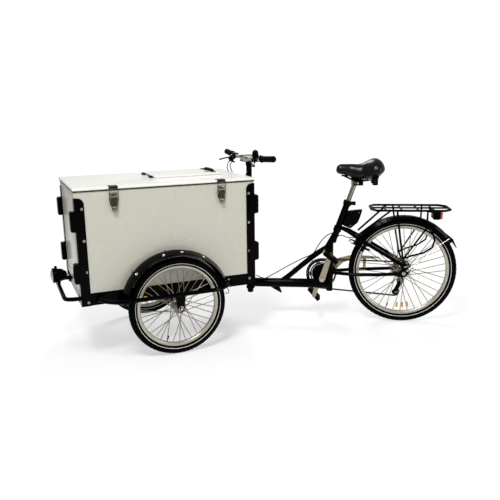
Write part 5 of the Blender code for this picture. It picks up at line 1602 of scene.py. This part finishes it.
    def headlamp(self) -> None:
        """The headlamp's polished rim, its domed glass and the foot's bolt."""
        centre = (self.front - 0.096, 0.075, 0.372)
        rim = [
            (0.0350, -0.0010), (0.0385, -0.0030), (0.0402, -0.0010),
            (0.0402, 0.0055), (0.0392, 0.0062), (0.0370, 0.0010),
        ]
        self.fit("headlamp_rim", Bench.lathe(rim, centre, Axis.X), Finishes.gloss_black)
        glass = [
            (0.0, -0.0142), (0.0120, -0.0134), (0.0240, -0.0104), (0.0335, -0.0050),
            (0.0366, -0.0008), (0.0366, 0.0004), (0.0, -0.0030),
        ]
        self.fit("headlamp_glass", Bench.lathe(glass, centre, Axis.X), Finishes.lens)
        bolt = [((self.front - 0.080, 0.0660, 0.3335), (0.0, -1.0, 0.0))]
        self.fasten("headlamp_bolt", bolt, radius=0.0042)


@dataclass(kw_only=True)
class Cockpit(Assembly):
    """What is on the handlebar: ribbed grips, perches, bell, shifter, clamp bolts and cables."""

    bar_start: Point = (-0.020, 0.140, 0.950)
    bar_end: Point = (-0.004, 0.330, 0.962)
    grip_from: float = 0.2085
    grip_radius: float = 0.0163
    ribs: int = 17
    perch_y: float = 0.150
    cable_radius: float = 0.0025
    ties: Sequence[float] = (0.430, 0.600)
    left_cable: Sequence[Point] = (
        (-0.0300, -0.1500, 0.9362), (-0.0330, -0.1498, 0.9240), (-0.0560, -0.1420, 0.9010),
        (-0.0630, -0.1130, 0.8740), (-0.0600, -0.0720, 0.8330), (-0.0520, -0.0390, 0.7640),
        (-0.0460, -0.0210, 0.6800), (-0.0435, -0.0172, 0.5500), (-0.0420, -0.0160, 0.4300),
        (-0.0320, -0.0140, 0.3620),
    )
    right_cable: Sequence[Point] = (
        (-0.0300, 0.1500, 0.9362), (-0.0330, 0.1499, 0.9240), (-0.0570, 0.1440, 0.9010),
        (-0.0630, 0.1210, 0.8790), (-0.0590, 0.0900, 0.8430), (-0.0530, 0.0540, 0.7700),
        (-0.0470, 0.0260, 0.6900), (-0.0440, 0.0180, 0.5500), (-0.0420, 0.0140, 0.4300),
        (-0.0320, 0.0120, 0.3620),
    )
    shift_cable: Sequence[Point] = (
        (-0.0402, 0.1900, 0.9197), (-0.0510, 0.1915, 0.9070), (-0.0620, 0.1780, 0.8720),
        (-0.0590, 0.1250, 0.8500), (-0.0560, 0.0790, 0.8230), (-0.0520, 0.0330, 0.7500),
        (-0.0495, 0.0080, 0.6700), (-0.0480, 0.0020, 0.5500), (-0.0465, 0.0000, 0.4300),
        (-0.0340, -0.0010, 0.3620),
    )

    def build(self) -> None:
        """Fit everything."""
        self.grips()
        self.perches()
        self.bell()
        self.shifter()
        self.clamp_bolts()
        self.cables_down()

    def grips(self) -> None:
        """Both ribbed rubber grips, each with an inner flange and a closed end."""
        r = self.grip_radius
        profile = [(0.0114, 0.0), (r + 0.0024, 0.0), (r + 0.0029, 0.0022), (r + 0.0006, 0.0046)]
        for number in range(self.ribs):
            base = 0.0080 + 0.0062 * number
            profile += [(r - 0.0012, base), (r, base + 0.0010)]
            profile += [(r, base + 0.0042), (r - 0.0012, base + 0.0052)]
        profile += [(r + 0.0005, 0.1186), (r + 0.0005, 0.1234), (r - 0.0014, 0.1256), (0.0, 0.1256)]
        profile += [(0.0, 0.1222), (0.0114, 0.1222)]
        right = Bench.lathe(profile, (0.0, 0.0, 0.0), Axis.Z, 40)
        bar = Vector(self.bar_end) - Vector(self.bar_start)
        start = Vector(self.bar_start) + bar * ((self.grip_from - self.bar_start[1]) / bar.y)
        turn = Vector((0.0, 0.0, 1.0)).rotation_difference(bar.normalized()).to_matrix().to_4x4()
        Bench.move(right, Matrix.Translation(start) @ turn)
        left = Bench.twin(right, Matrix.Scale(-1.0, 4, (0, 1, 0)))
        for tag, grip in (("right", right), ("left", left)):
            self.fit(f"grip_ribbed_{tag}", grip, Finishes.grip, slot="rubber", replaces=[f"grip_{tag}"])

    def perches(self) -> None:
        """Black sleeves over the lever clamps, with their pivot ears and screws."""
        made, screws = [], []
        for side in SIDES:
            y = side * self.perch_y
            clamp = Bench.block((-0.0380, y - 0.0140, 0.9360), (-0.0030, y + 0.0140, 0.9660))
            made.append(Bench.soften(clamp, 0.0050, 4))
            for low, high in ((0.9349, 0.9393), (0.9488, 0.9531)):
                ear = Bench.block((-0.0520, y - 0.0072, low), (-0.0330, y + 0.0072, high))
                made.append(Bench.soften(ear, 0.0018, 3))
            made.append(Bench.rod((-0.0302, y, 0.9372), (-0.0310, y, 0.9300), 0.0048, 20))
            screws.append(((-0.0460, y, 0.9530), (0.0, 0.0, 1.0)))
            screws.append(((-0.0030, y, 0.9440), (1.0, 0.0, 0.0)))
        self.fit("lever_perches", made, Finishes.black_plastic, slot="black_plastic")
        self.fasten("perch_screws", screws, Finishes.chrome, radius=0.0036)

    def bell(self) -> None:
        """The domed bell on the left of the bar, with its thumb striker."""
        x, y, z = -0.026, -0.150, 0.960
        profile = [
            (0.0, 0.0), (0.0172, 0.0), (0.0184, 0.0050), (0.0182, 0.0130),
            (0.0168, 0.0250), (0.0136, 0.0345), (0.0080, 0.0388), (0.0, 0.0396),
        ]
        self.fit("bell_dome", Bench.lathe(profile, (x, y, z), Axis.Z, 40), Finishes.gloss_black)
        self.fasten("bell_screw", [((x, y, z + 0.0392), (0.0, 0.0, 1.0))], Finishes.chrome, radius=0.0040)
        route = [(-0.0190, -0.1640, 0.9650), (-0.0120, -0.1720, 0.9680), (-0.0060, -0.1790, 0.9730)]
        self.fit("bell_striker", Bench.tube(route, 0.0022, 3, 6), Finishes.black_plastic)

    def shifter(self) -> None:
        """The gear shifter's pod under the bar, with its thumb paddle and cable nose."""
        pod = Bench.rod((-0.0196, 0.1859, 0.9445), (-0.0406, 0.1901, 0.9193), 0.0180, 32, 0.0150)
        Bench.soften(pod, 0.0030, 4)
        route = [(-0.0360, 0.1860, 0.9260), (-0.0310, 0.1690, 0.9150), (-0.0230, 0.1560, 0.9120)]
        paddle = Bench.tube(route, 0.0038, 4, 8)
        nose = Bench.rod((-0.0395, 0.1897, 0.9205), (-0.0470, 0.1912, 0.9115), 0.0048, 20, 0.0036)
        self.fit("gear_shifter", [pod, paddle, nose], Finishes.black_plastic)

    def clamp_bolts(self) -> None:
        """Four bolts in the stem's face plate and two in its column clamp."""
        places = [((-0.0458, y, z), (-1.0, 0.0, 0.0)) for y in (-0.0130, 0.0130) for z in (0.9340, 0.9580)]
        places += [((0.0168, y, 0.9340), (1.0, 0.0, 0.0)) for y in (-0.0100, 0.0100)]
        self.fasten("stem_bolts", places, Finishes.satin_black, radius=0.0038)

    def cables_down(self) -> None:
        """The three cables from the levers and shifter down the column, held by two ties."""
        sheaths, ferrules = [], []
        for route in (self.left_cable, self.right_cable, self.shift_cable):
            sheaths.append(Bench.tube(route, self.cable_radius, 4, 10))
            for end, inner in ((route[0], route[1]), (route[-1], route[-2])):
                way = (Vector(inner) - Vector(end)).normalized()
                ferrules.append(Bench.rod(end, Vector(end) + way * 0.0130, 0.0034, 16, 0.0031))
        self.fit("front_cable_sheaths", sheaths, Finishes.sheath, replaces=["control_cables_front"])
        self.fit("front_cable_ferrules", ferrules, Finishes.chrome)
        bands = [Bench.block((-0.0520, -0.0205, z), (-0.0386, 0.0205, z + 0.0080)) for z in self.ties]
        self.fit("cable_ties", [Bench.soften(band, 0.0022, 3) for band in bands], Finishes.black_plastic)


@dataclass(kw_only=True)
class BicycleTrim(Assembly):
    """What is fastened to the bicycle: brake, fender stays, lamp glass, cranks, pedals and welds."""

    body: str = "rear_frame"
    place: Place = Place.BICYCLE
    crank: tuple[float, float] = (0.420, 0.262)
    crank_length: float = 0.152
    crank_degrees: float = 73.0
    pedal_tilts: tuple[float, float] = (39.0, 49.0)
    chain_y: float = 0.0475
    pulleys: Profile = ((0.882, 0.228), (0.852, 0.158))
    ring_covers: Profile = ((0.0200, 0.0540), (0.0610, 0.0690), (0.0745, 0.0838))
    brake_cable_radius: float = 0.0025
    gear_cable_radius: float = 0.0027
    pad_degrees: float = -57.9
    pedal_pins: int = 6
    brake_route: Sequence[Point] = (
        (0.0360, -0.0110, 0.2620), (0.0660, -0.0150, 0.2495), (0.1200, -0.0184, 0.2405),
        (0.1820, -0.0178, 0.2400), (0.2220, -0.0178, 0.2570), (0.3080, -0.0178, 0.3330),
        (0.3980, -0.0178, 0.4060), (0.4480, -0.0211, 0.4400), (0.4860, -0.0211, 0.4950),
        (0.5200, -0.0265, 0.5100), (0.5600, -0.0330, 0.5000), (0.5980, -0.0330, 0.4970),
    )
    gear_route: Sequence[Point] = (
        (0.0900, -0.0120, 0.2430), (0.1650, -0.0190, 0.2880), (0.2380, -0.0200, 0.3320),
        (0.3090, -0.0200, 0.3700), (0.3690, -0.0200, 0.4020), (0.3950, -0.0200, 0.4440),
        (0.4230, -0.0200, 0.4850), (0.4586, -0.0200, 0.5140), (0.4873, -0.0205, 0.5210),
        (0.5120, -0.0205, 0.5020),
    )
    pipe_route: Sequence[Point] = (
        (0.5930, -0.0330, 0.4975), (0.5800, -0.0350, 0.4930), (0.5730, -0.0330, 0.4830),
        (0.5730, -0.0180, 0.4755), (0.5760, 0.0050, 0.4720), (0.5810, 0.0420, 0.4715),
    )

    def build(self) -> None:
        """Fit everything."""
        self.welds()
        self.cables()
        self.rim_brake()
        self.fender_stays()
        self.axle_nuts()
        lens = Bench.block((1.0662, -0.0326, 0.6064), (1.0798, 0.0326, 0.6466))
        self.fit("tail_lens", Bench.soften(lens, 0.0042, 4), Finishes.red)
        self.case_seam()
        self.cranks()
        self.chainring()
        for side, tilt in zip(SIDES, self.pedal_tilts):
            self.pedal(side, tilt)
        self.drive_bolts()

    def welds(self) -> None:
        """Weld beads where the frame's tubes meet."""
        rings = (
            ((0.0236, 0.0, 0.216), (1.0, 0.0, 0.0), 0.0270),
            ((0.4655, 0.0, 0.2418), (0.0, 0.0, 1.0), 0.0188),
            ((0.4500, 0.0, 0.4345), (0.846, 0.0, 0.533), 0.0164),
            ((0.4820, 0.0, 0.4740), (0.328, 0.0, 0.945), 0.0188),
            ((0.4200, -0.0330, 0.262), (0.0, 1.0, 0.0), 0.0210),
            ((0.4200, 0.0330, 0.262), (0.0, 1.0, 0.0), 0.0210),
        )
        self.fit("weld_beads", [Hardware.bead(*ring) for ring in rings], Finishes.gloss_black)

    def cables(self) -> None:
        """The brake cable along the main tube, the gear cable over it, and the ties."""
        brake = Bench.tube(self.brake_route, self.brake_cable_radius, 4, 8)
        self.fit("rear_cable_sheath", brake, Finishes.sheath, replaces=["control_cable_rear"])
        gear = Bench.tube(self.gear_route, self.gear_cable_radius, 4, 6)
        self.fit("gear_cable_sheath", gear, Finishes.sheath)
        ties = [
            Hardware.bead((0.2650, -0.0026, 0.2936), (0.754, 0.0, 0.657), 0.0188, 0.0011),
            Hardware.bead((0.3530, -0.0026, 0.3660), (0.777, 0.0, 0.630), 0.0188, 0.0011),
        ]
        self.fit("frame_ties", ties, Finishes.black_plastic)

    def rim_brake(self) -> None:
        """The linear-pull brake: two arms with pads on the rim and a curved cable pipe between them."""
        arms, pads, bolts = [], [], []
        for side in SIDES:
            foot, waist = (0.686, side * 0.0560, 0.4300), (0.655, side * 0.0545, 0.4420)
            tip, out = (0.582, side * 0.0440, 0.4710), (0.0, side, 0.0)
            arms.append(Bench.rod(foot, waist, 0.0072, 20, 0.0060))
            arms.append(Bench.rod(waist, tip, 0.0060, 20, 0.0040))
            arms.append(Bench.rod((0.660, side * 0.0240, 0.4388), (0.660, side * 0.0520, 0.4400), 0.0032, 14))
            pad = Bench.block((-0.0290, -0.0050, -0.0055), (0.0290, 0.0050, 0.0055))
            turn = Matrix.Rotation(math.radians(self.pad_degrees), 4, "Y")
            set_pad = Matrix.Translation((0.660, side * 0.0192, 0.4388)) @ turn
            pads.append(Bench.move(Bench.soften(pad, 0.0022, 3), set_pad))
            bolts.append(((0.686, side * 0.0628, 0.4300), out))
            bolts.append(((0.582, side * 0.0476, 0.4710), out))
        self.fit("brake_arms", arms, Finishes.satin_black)
        self.fit("brake_pads", pads, Finishes.grip)
        self.fit("brake_pipe", Bench.tube(self.pipe_route, 0.0026, 4, 8), Finishes.chrome)
        boot = [(0.5735, -0.0120, 0.4742), (0.5758, 0.0050, 0.4720), (0.5785, 0.0260, 0.4715)]
        self.fit("brake_boot", Bench.tube(boot, 0.0046, 4, 6), Finishes.grip)
        self.fasten("brake_bolts", bolts, Finishes.chrome, radius=0.0046)

    def fender_stays(self) -> None:
        """The bright wire stays from the axle to the end of the rear fender."""
        wires, bolts = [], []
        run = (
            (1.1240, 0.0300, 0.4970), (1.0500, 0.0420, 0.4460),
            (0.9450, 0.0700, 0.3570), (0.8960, 0.0745, 0.3215),
        )
        for side in SIDES:
            wires.append(Bench.tube([(x, side * y, z) for x, y, z in run], 0.0030, 4, 3))
            for x, y, z in ((0.8945, 0.0768, 0.3205), (0.8830, 0.0773, 0.3440)):
                bolts.append(((x, side * y, z), (0.0, side, 0.0)))
        self.fit("fender_stays", wires, Finishes.chrome)
        self.fasten("stay_bolts", bolts, radius=0.0048)

    def axle_nuts(self) -> None:
        """The rear axle's nuts and thread ends, and the seat clamp's nut."""
        x, z = REAR_AXLE
        made = []
        for side in SIDES:
            start, end, tip = ((x, side * y, z) for y in (0.0702, 0.0792, 0.0822))
            made.append(Bench.soften(Bench.rod(start, end, 0.0116, 6), 0.0008))
            made.append(Bench.rod(end, tip, 0.0054, 18, 0.0046))
        self.fit("axle_nuts", made, Finishes.zinc)
        self.fasten("seat_clamp_nut", [((0.5925, 0.0178, 0.6895), (0.0, 1.0, 0.0))], radius=0.0062)

    def case_seam(self) -> None:
        """The raised joint round the wedge case, its bracket strap and its screws."""
        outline = (
            (0.5334, 0.565), (0.578, 0.548), (0.618, 0.583), (0.629, 0.611), (0.641, 0.654), (0.5612, 0.645)
        )
        seam = Bench.tube([(x, 0.0, z) for x, z in outline], 0.0014, 3, 1, True)
        strap = Bench.block((0.5560, -0.0262, 0.5980), (0.5680, 0.0262, 0.6440))
        self.fit("case_trim", [seam, Bench.soften(strap, 0.0010)], Finishes.satin_black)
        heads = ((0.578, 0.566), (0.622, 0.640))
        screws = [((x, side * 0.0242, z), (0.0, side, 0.0)) for side in SIDES for x, z in heads]
        self.fasten("case_screws", screws, Finishes.steel, Hardware.screw, radius=0.0034)

    def cranks(self) -> None:
        """Dust caps on the crank axle and the bolts that hold the chainring."""
        x, z = self.crank
        caps = []
        for side in SIDES:
            cap = Bench.rod((x, side * 0.0796, z), (x, side * 0.0822, z), 0.0112, 28)
            caps.append(Bench.soften(cap, 0.0009))
        self.fit("crank_caps", caps, Finishes.zinc, "crankset")
        bolt = Bench.rod((x + 0.060, 0.0450, z), (x + 0.060, 0.0504, z), 0.0048, 18)
        Bench.inset(bolt, (0, 1, 0), 0.0016, 0.0012, True)
        turn = Matrix.Rotation(math.radians(-self.crank_degrees), 4, "Y")
        Bench.move(bolt, Bench.about((x, 0.0, z), turn))
        self.fit("ring_bolts", Bench.ring_of(bolt, 5, (x, 0.0, z)), Finishes.chrome, "crankset")

    def chainring(self) -> None:
        """The dark rings over the chainring and the disc behind it."""
        centre = (self.crank[0], 0.0, self.crank[1])
        rings = []
        for inner, outer in self.ring_covers:
            flat = [(inner, 0.0446), (outer, 0.0446), (outer + 0.0006, 0.0452)]
            rings.append(Bench.lathe(flat + [(outer, 0.0458), (inner, 0.0458)], centre, Axis.Y, 64))
        self.fit("ring_cover", rings, Finishes.black_plastic, "crankset")
        disc = [(0.0190, 0.0500), (0.0570, 0.0500), (0.0585, 0.0510), (0.0570, 0.0520), (0.0190, 0.0520)]
        self.fit("ring_backing", Bench.lathe(disc, centre, Axis.Y, 64), Finishes.black_plastic, "crankset")

    def pedal(self, side: float, tilt: float) -> None:
        """Reflectors, end cap and grip pins of one pedal.

        Args:
            side: -1 for the left pedal, 1 for the right.
            tilt: How far the pedal is turned on its spindle, in degrees.
        """
        tag = "left" if side < 0 else "right"
        angle = math.radians(self.crank_degrees + (0.0 if side < 0 else 180.0))
        x = self.crank[0] + self.crank_length * math.cos(angle)
        z = self.crank[1] + self.crank_length * math.sin(angle)
        place = Matrix.Translation((x, 0.0, z)) @ Matrix.Rotation(math.radians(tilt), 4, "Y")
        lenses, pins = [], []
        for end in SIDES:
            xs = sorted((end * 0.0462, end * 0.0490))
            ys = sorted((side * 0.1050, side * 0.1480))
            lens = Bench.block((xs[0], ys[0], -0.0072), (xs[1], ys[1], 0.0072))
            lenses.append(Bench.inset(lens, (1, 0, 0), 0.0012, 0.0005, True))
            for number in range(self.pedal_pins):
                y = side * (0.0930 + 0.0132 * number)
                for up in SIDES:
                    start, tip = (end * 0.0420, y, up * 0.0110), (end * 0.0420, y, up * 0.0137)
                    pins.append(Bench.rod(start, tip, 0.0016, 8, 0.0010))
        cap = Bench.rod((0.0, side * 0.1655, 0.0), (0.0, side * 0.1690, 0.0), 0.0082, 24, 0.0068)
        pins.append(Bench.soften(cap, 0.0008))
        body = f"pedal_{tag}"
        self.fit(f"pedal_reflectors_{tag}", Bench.move(Bench.join(lenses), place), Finishes.amber, body)
        self.fit(f"pedal_trim_{tag}", Bench.move(Bench.join(pins), place), Finishes.black_plastic, body)

    def drive_bolts(self) -> None:
        """Pulley bolts of the derailleur, the cassette's lock ring and the chain guard's bolts."""
        y = self.chain_y
        bolts = [((x, y - 0.0070, z), (0.0, -1.0, 0.0)) for x, z in self.pulleys]
        bolts += [((x, y + 0.0086, z), (0.0, 1.0, 0.0)) for x, z in self.pulleys[1:]]
        self.fasten("pulley_bolts", bolts, radius=0.0040)
        ring = [(0.0060, 0.0586), (0.0168, 0.0586), (0.0168, 0.0598), (0.0120, 0.0606), (0.0060, 0.0606)]
        lock = Bench.lathe(ring, (REAR_AXLE[0], 0.0, REAR_AXLE[1]), Axis.Y, 36)
        self.fit("lock_ring", lock, Finishes.zinc, "cassette")
        guard = [((x, 0.0560, 0.3610), (0.0, -1.0, 0.0)) for x in (0.600, 0.710)]
        self.fasten("guard_bolts", guard, Finishes.satin_black, radius=0.0042)


def pair(name: str, ends: Sequence[str] = ("left", "right")) -> list[str]:
    """The names of a node and its twin."""
    return [f"{name}_{end}" for end in ends]


FRONT_REAR = ("front", "rear")
PANELS = pair("panel") + pair("panel", FRONT_REAR)


@dataclass
class CarriedOver:
    """The CAD nodes that stay in view: smooth shading, soft edges and a finish for each."""

    smooth_degrees: float = 34.0
    swells: dict[float, Sequence[str]] = field(
        default_factory=lambda: {
            0.0012: ("rack", "rear_stays", *pair("outer_stay")),
            0.0008: ("bumper_hoop",),
        }
    )
    edges: dict[float, Sequence[str]] = field(
        default_factory=lambda: {0.0012: ("lid", "hatch"), 0.0006: PANELS, 0.0050: ("wedge_case",)}
    )
    finishes: dict[Finish, Sequence[str]] = field(
        default_factory=lambda: {
            Finishes.gloss_black: (
                "carrier_frame",
                *pair("outer_stay"),
                "bumper_hoop",
                "headlamp",
                *pair("post_front"),
                *pair("post_rear"),
                *pair("front_fender"),
                "steering_column",
                "rear_frame",
                "rear_stays",
                "rack",
                "rear_fender",
            ),
            Finishes.satin_black: (
                "hatch_hinge",
                "seat_release_lever",
                *pair("brake_lever"),
                "derailleur",
            ),
            Finishes.board: ("lid", "hatch", "box_floor"),
            # The panels take the darkened board: painted shade on the box's sides.
            Finishes.board_painted_shade: PANELS,
            Finishes.steel: ("lid_hinge", *pair("latch_base", FRONT_REAR)),
            Finishes.dark_iron: (*pair("latch_bail", FRONT_REAR), *pair("latch_keeper", FRONT_REAR)),
            Finishes.bronze: pair("latch_lever", FRONT_REAR),
            Finishes.alloy: ("handlebar",),
            Finishes.crank: ("crankset",),
            Finishes.post: ("seat_post",),
            Finishes.dark_steel: ("chain", "cassette"),
            Finishes.guard_plastic: ("chain_guard",),
            Finishes.black_plastic: (*pair("pedal"), "tail_lamp", "wedge_case"),
        }
    )

    def build(self, nodes: dict[str, Piece]) -> None:
        """Dress every node that no piece stands for.

        Args:
            nodes: The CAD nodes by name.
        """
        smoothing = self.smoothing()
        widths = {name: width for width, names in self.edges.items() for name in names}
        depths = {name: depth for depth, names in self.swells.items() for name in names}
        for finish, names in self.finishes.items():
            for name in names:
                node = nodes[name]
                node.data.materials.clear()
                node.data.materials.append(finish.material())
                if name in widths or name in depths:
                    node.modifiers.new("closed_seams", "WELD").merge_threshold = WELD
                if name in widths:
                    Bench.bevel(node, widths[name], 2, 50.0)
                if name in depths:
                    swell = node.modifiers.new("paint_build", "DISPLACE")
                    swell.strength = depths[name]
                    swell.mid_level = 0.0
                node.modifiers.new("smooth_shading", "NODES").node_group = smoothing
                log.info("%s: dressed in %s", name, finish.name)

    def smoothing(self) -> bpy.types.NodeTree:
        """A modifier that joins a node's triangles and shades its round surfaces smooth.

        Returns:
            The modifier's node group.
        """
        group = bpy.data.node_groups.new("smooth_by_angle_here", "GeometryNodeTree")
        for way in ("INPUT", "OUTPUT"):
            group.interface.new_socket("Geometry", in_out=way, socket_type="NodeSocketGeometry")
        start = group.nodes.new("NodeGroupInput")
        weld = group.nodes.new("GeometryNodeMergeByDistance")
        weld.inputs["Distance"].default_value = WELD
        drop = group.nodes.new("GeometryNodeRemoveAttribute")
        drop.inputs["Name"].default_value = "custom_normal"
        faces = group.nodes.new("GeometryNodeSetShadeSmooth")
        angle = group.nodes.new("GeometryNodeInputMeshEdgeAngle")
        sharp = group.nodes.new("FunctionNodeCompare")
        sharp.operation = "GREATER_THAN"
        sharp.inputs[1].default_value = math.radians(self.smooth_degrees)
        edges = group.nodes.new("GeometryNodeSetShadeSmooth")
        edges.domain = "EDGE"
        edges.inputs["Shade Smooth"].default_value = False
        end = group.nodes.new("NodeGroupOutput")
        chain = [start, weld, drop, faces, edges, end]
        for before, after in zip(chain, chain[1:]):
            group.links.new(before.outputs[0], after.inputs[0])
        group.links.new(angle.outputs["Unsigned Angle"], sharp.inputs[0])
        group.links.new(sharp.outputs[0], edges.inputs["Selection"])
        return group


@dataclass
class Studio:
    """Floor, white surroundings, soft lamps and the camera at the photograph's angle."""

    camera_place: Point = (-1.3012, -3.0246, 1.2241)
    heading: float = -0.4046
    down: float = 0.2345
    roll: float = -0.0128
    lens: float = 43.014
    ambient: float = 0.40
    floor_reach: float = 3.4
    floor_shade: float = 0.62
    lamps: Sequence[tuple[str, Point, Point, float, float]] = (
        ("key_lamp", (-1.6, -1.9, 3.7), (-0.2, 0.0, 0.5), 1.0, 112.0),
        ("fill_lamp", (2.6, -3.0, 1.9), (0.2, 0.0, 0.5), 1.2, 42.0),
        ("back_lamp", (0.6, 2.6, 3.4), (0.0, 0.0, 0.5), 1.5, 85.0),
    )

    def build(self) -> None:
        """Set up everything that isn't the cart."""
        bpy.context.scene.view_settings.view_transform = "Standard"
        self.camera()
        self.surroundings()
        self.floor()
        for name, place, target, size, power in self.lamps:
            self.lamp(name, place, target, size, power)

    def camera(self) -> None:
        """The camera, set from its measured place, heading, tilt and roll."""
        right = Vector((math.cos(self.heading), math.sin(self.heading), 0.0))
        level_way = Vector((-math.sin(self.heading), math.cos(self.heading), 0.0))
        forward = level_way * math.cos(self.down) - Vector((0.0, 0.0, math.sin(self.down)))
        upward = right.cross(forward)
        level = right * math.cos(self.roll) + upward * math.sin(self.roll)
        top = upward * math.cos(self.roll) - right * math.sin(self.roll)
        data = bpy.data.cameras.new("photograph_view")
        data.lens = self.lens
        data.sensor_width = 36.0
        camera = bpy.data.objects.new("photograph_view", data)
        turn = Matrix((level, top, -forward)).transposed().to_4x4()
        camera.matrix_world = Matrix.Translation(self.camera_place) @ turn
        bpy.context.scene.collection.objects.link(camera)
        bpy.context.scene.camera = camera

    def surroundings(self) -> None:
        """White where the camera or glass looks, and softer as a light."""
        world = bpy.data.worlds.new("white_room")
        world.use_nodes = True
        tree = world.node_tree
        tree.nodes.clear()
        out = tree.nodes.new("ShaderNodeOutputWorld")
        back = tree.nodes.new("ShaderNodeBackground")
        path = tree.nodes.new("ShaderNodeLightPath")
        either = tree.nodes.new("ShaderNodeMath")
        either.operation = "MAXIMUM"
        level = tree.nodes.new("ShaderNodeMapRange")
        level.inputs["To Min"].default_value = self.ambient
        level.inputs["To Max"].default_value = 1.0
        tree.links.new(path.outputs["Is Camera Ray"], either.inputs[0])
        tree.links.new(path.outputs["Is Transmission Ray"], either.inputs[1])
        tree.links.new(either.outputs[0], level.inputs["Value"])
        tree.links.new(level.outputs[0], back.inputs["Strength"])
        tree.links.new(back.outputs[0], out.inputs["Surface"])
        back.inputs["Color"].default_value = (1.0, 1.0, 1.0, 1.0)
        bpy.context.scene.world = world

    def floor(self) -> None:
        """A wide pale floor that takes the cart's soft shadow, which fades out within its reach."""
        Bench.put_aside()
        bpy.ops.mesh.primitive_plane_add(size=60.0, location=(0.0, 0.0, -0.0006))
        floor = Bench.settled()
        floor.name = "studio_floor"
        shading = Shading("pale_floor")
        tone = shading.ramp(shading.noise(1.6, 2.0), (0.2, (0.93, 0.93, 0.925)), (0.8, (0.95, 0.95, 0.945)))
        shading.set(Base_Color=tone, Roughness=0.85)
        glow = shading.add("ShaderNodeEmission", {}, {"Color": (1.0, 1.0, 1.0), "Strength": 1.05})
        path = shading.add("ShaderNodeLightPath")
        place = shading.scaled((1.0 / self.floor_reach,) * 3)
        reach = shading.add("ShaderNodeTexGradient", {"gradient_type": "SPHERICAL"}, {"Vector": place})
        near = Socket(shading, reach.outputs["Fac"])
        share = (1.0 - near * self.floor_shade) * Socket(shading, path.outputs["Is Camera Ray"])
        ends = {0: share, 1: shading.shader.outputs[0], 2: glow.outputs[0]}
        mix = shading.add("ShaderNodeMixShader", {}, ends)
        shading.feed(shading.output.inputs["Surface"], mix.outputs[0])
        floor.data.materials.append(shading.material)

    def lamp(self, name: str, place: Point, target: Point, size: float, power: float) -> None:
        """One square soft lamp.

        Args:
            name: Its name.
            place: Where it is.
            target: What it points at.
            size: The length of its side.
            power: Its power in watts.
        """
        data = bpy.data.lights.new(name, "AREA")
        data.size = size
        data.energy = power
        lamp = bpy.data.objects.new(name, data)
        lamp.location = place
        lamp.rotation_euler = (Vector(target) - Vector(place)).to_track_quat("-Z", "Y").to_euler()
        bpy.context.scene.collection.objects.link(lamp)


def main() -> None:
    """Build the cart's looks round the frame, then the studio."""
    logging.basicConfig(level=logging.INFO, format="%(message)s")
    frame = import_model()
    Studio().build()
    build_wheels()
    Saddle().build()
    BoxTrim().build()
    Cockpit().build()
    BicycleTrim().build()
    CarriedOver().build(frame["nodes"])
    bpy.context.view_layer.update()


if __name__ == "__main__":
    main()
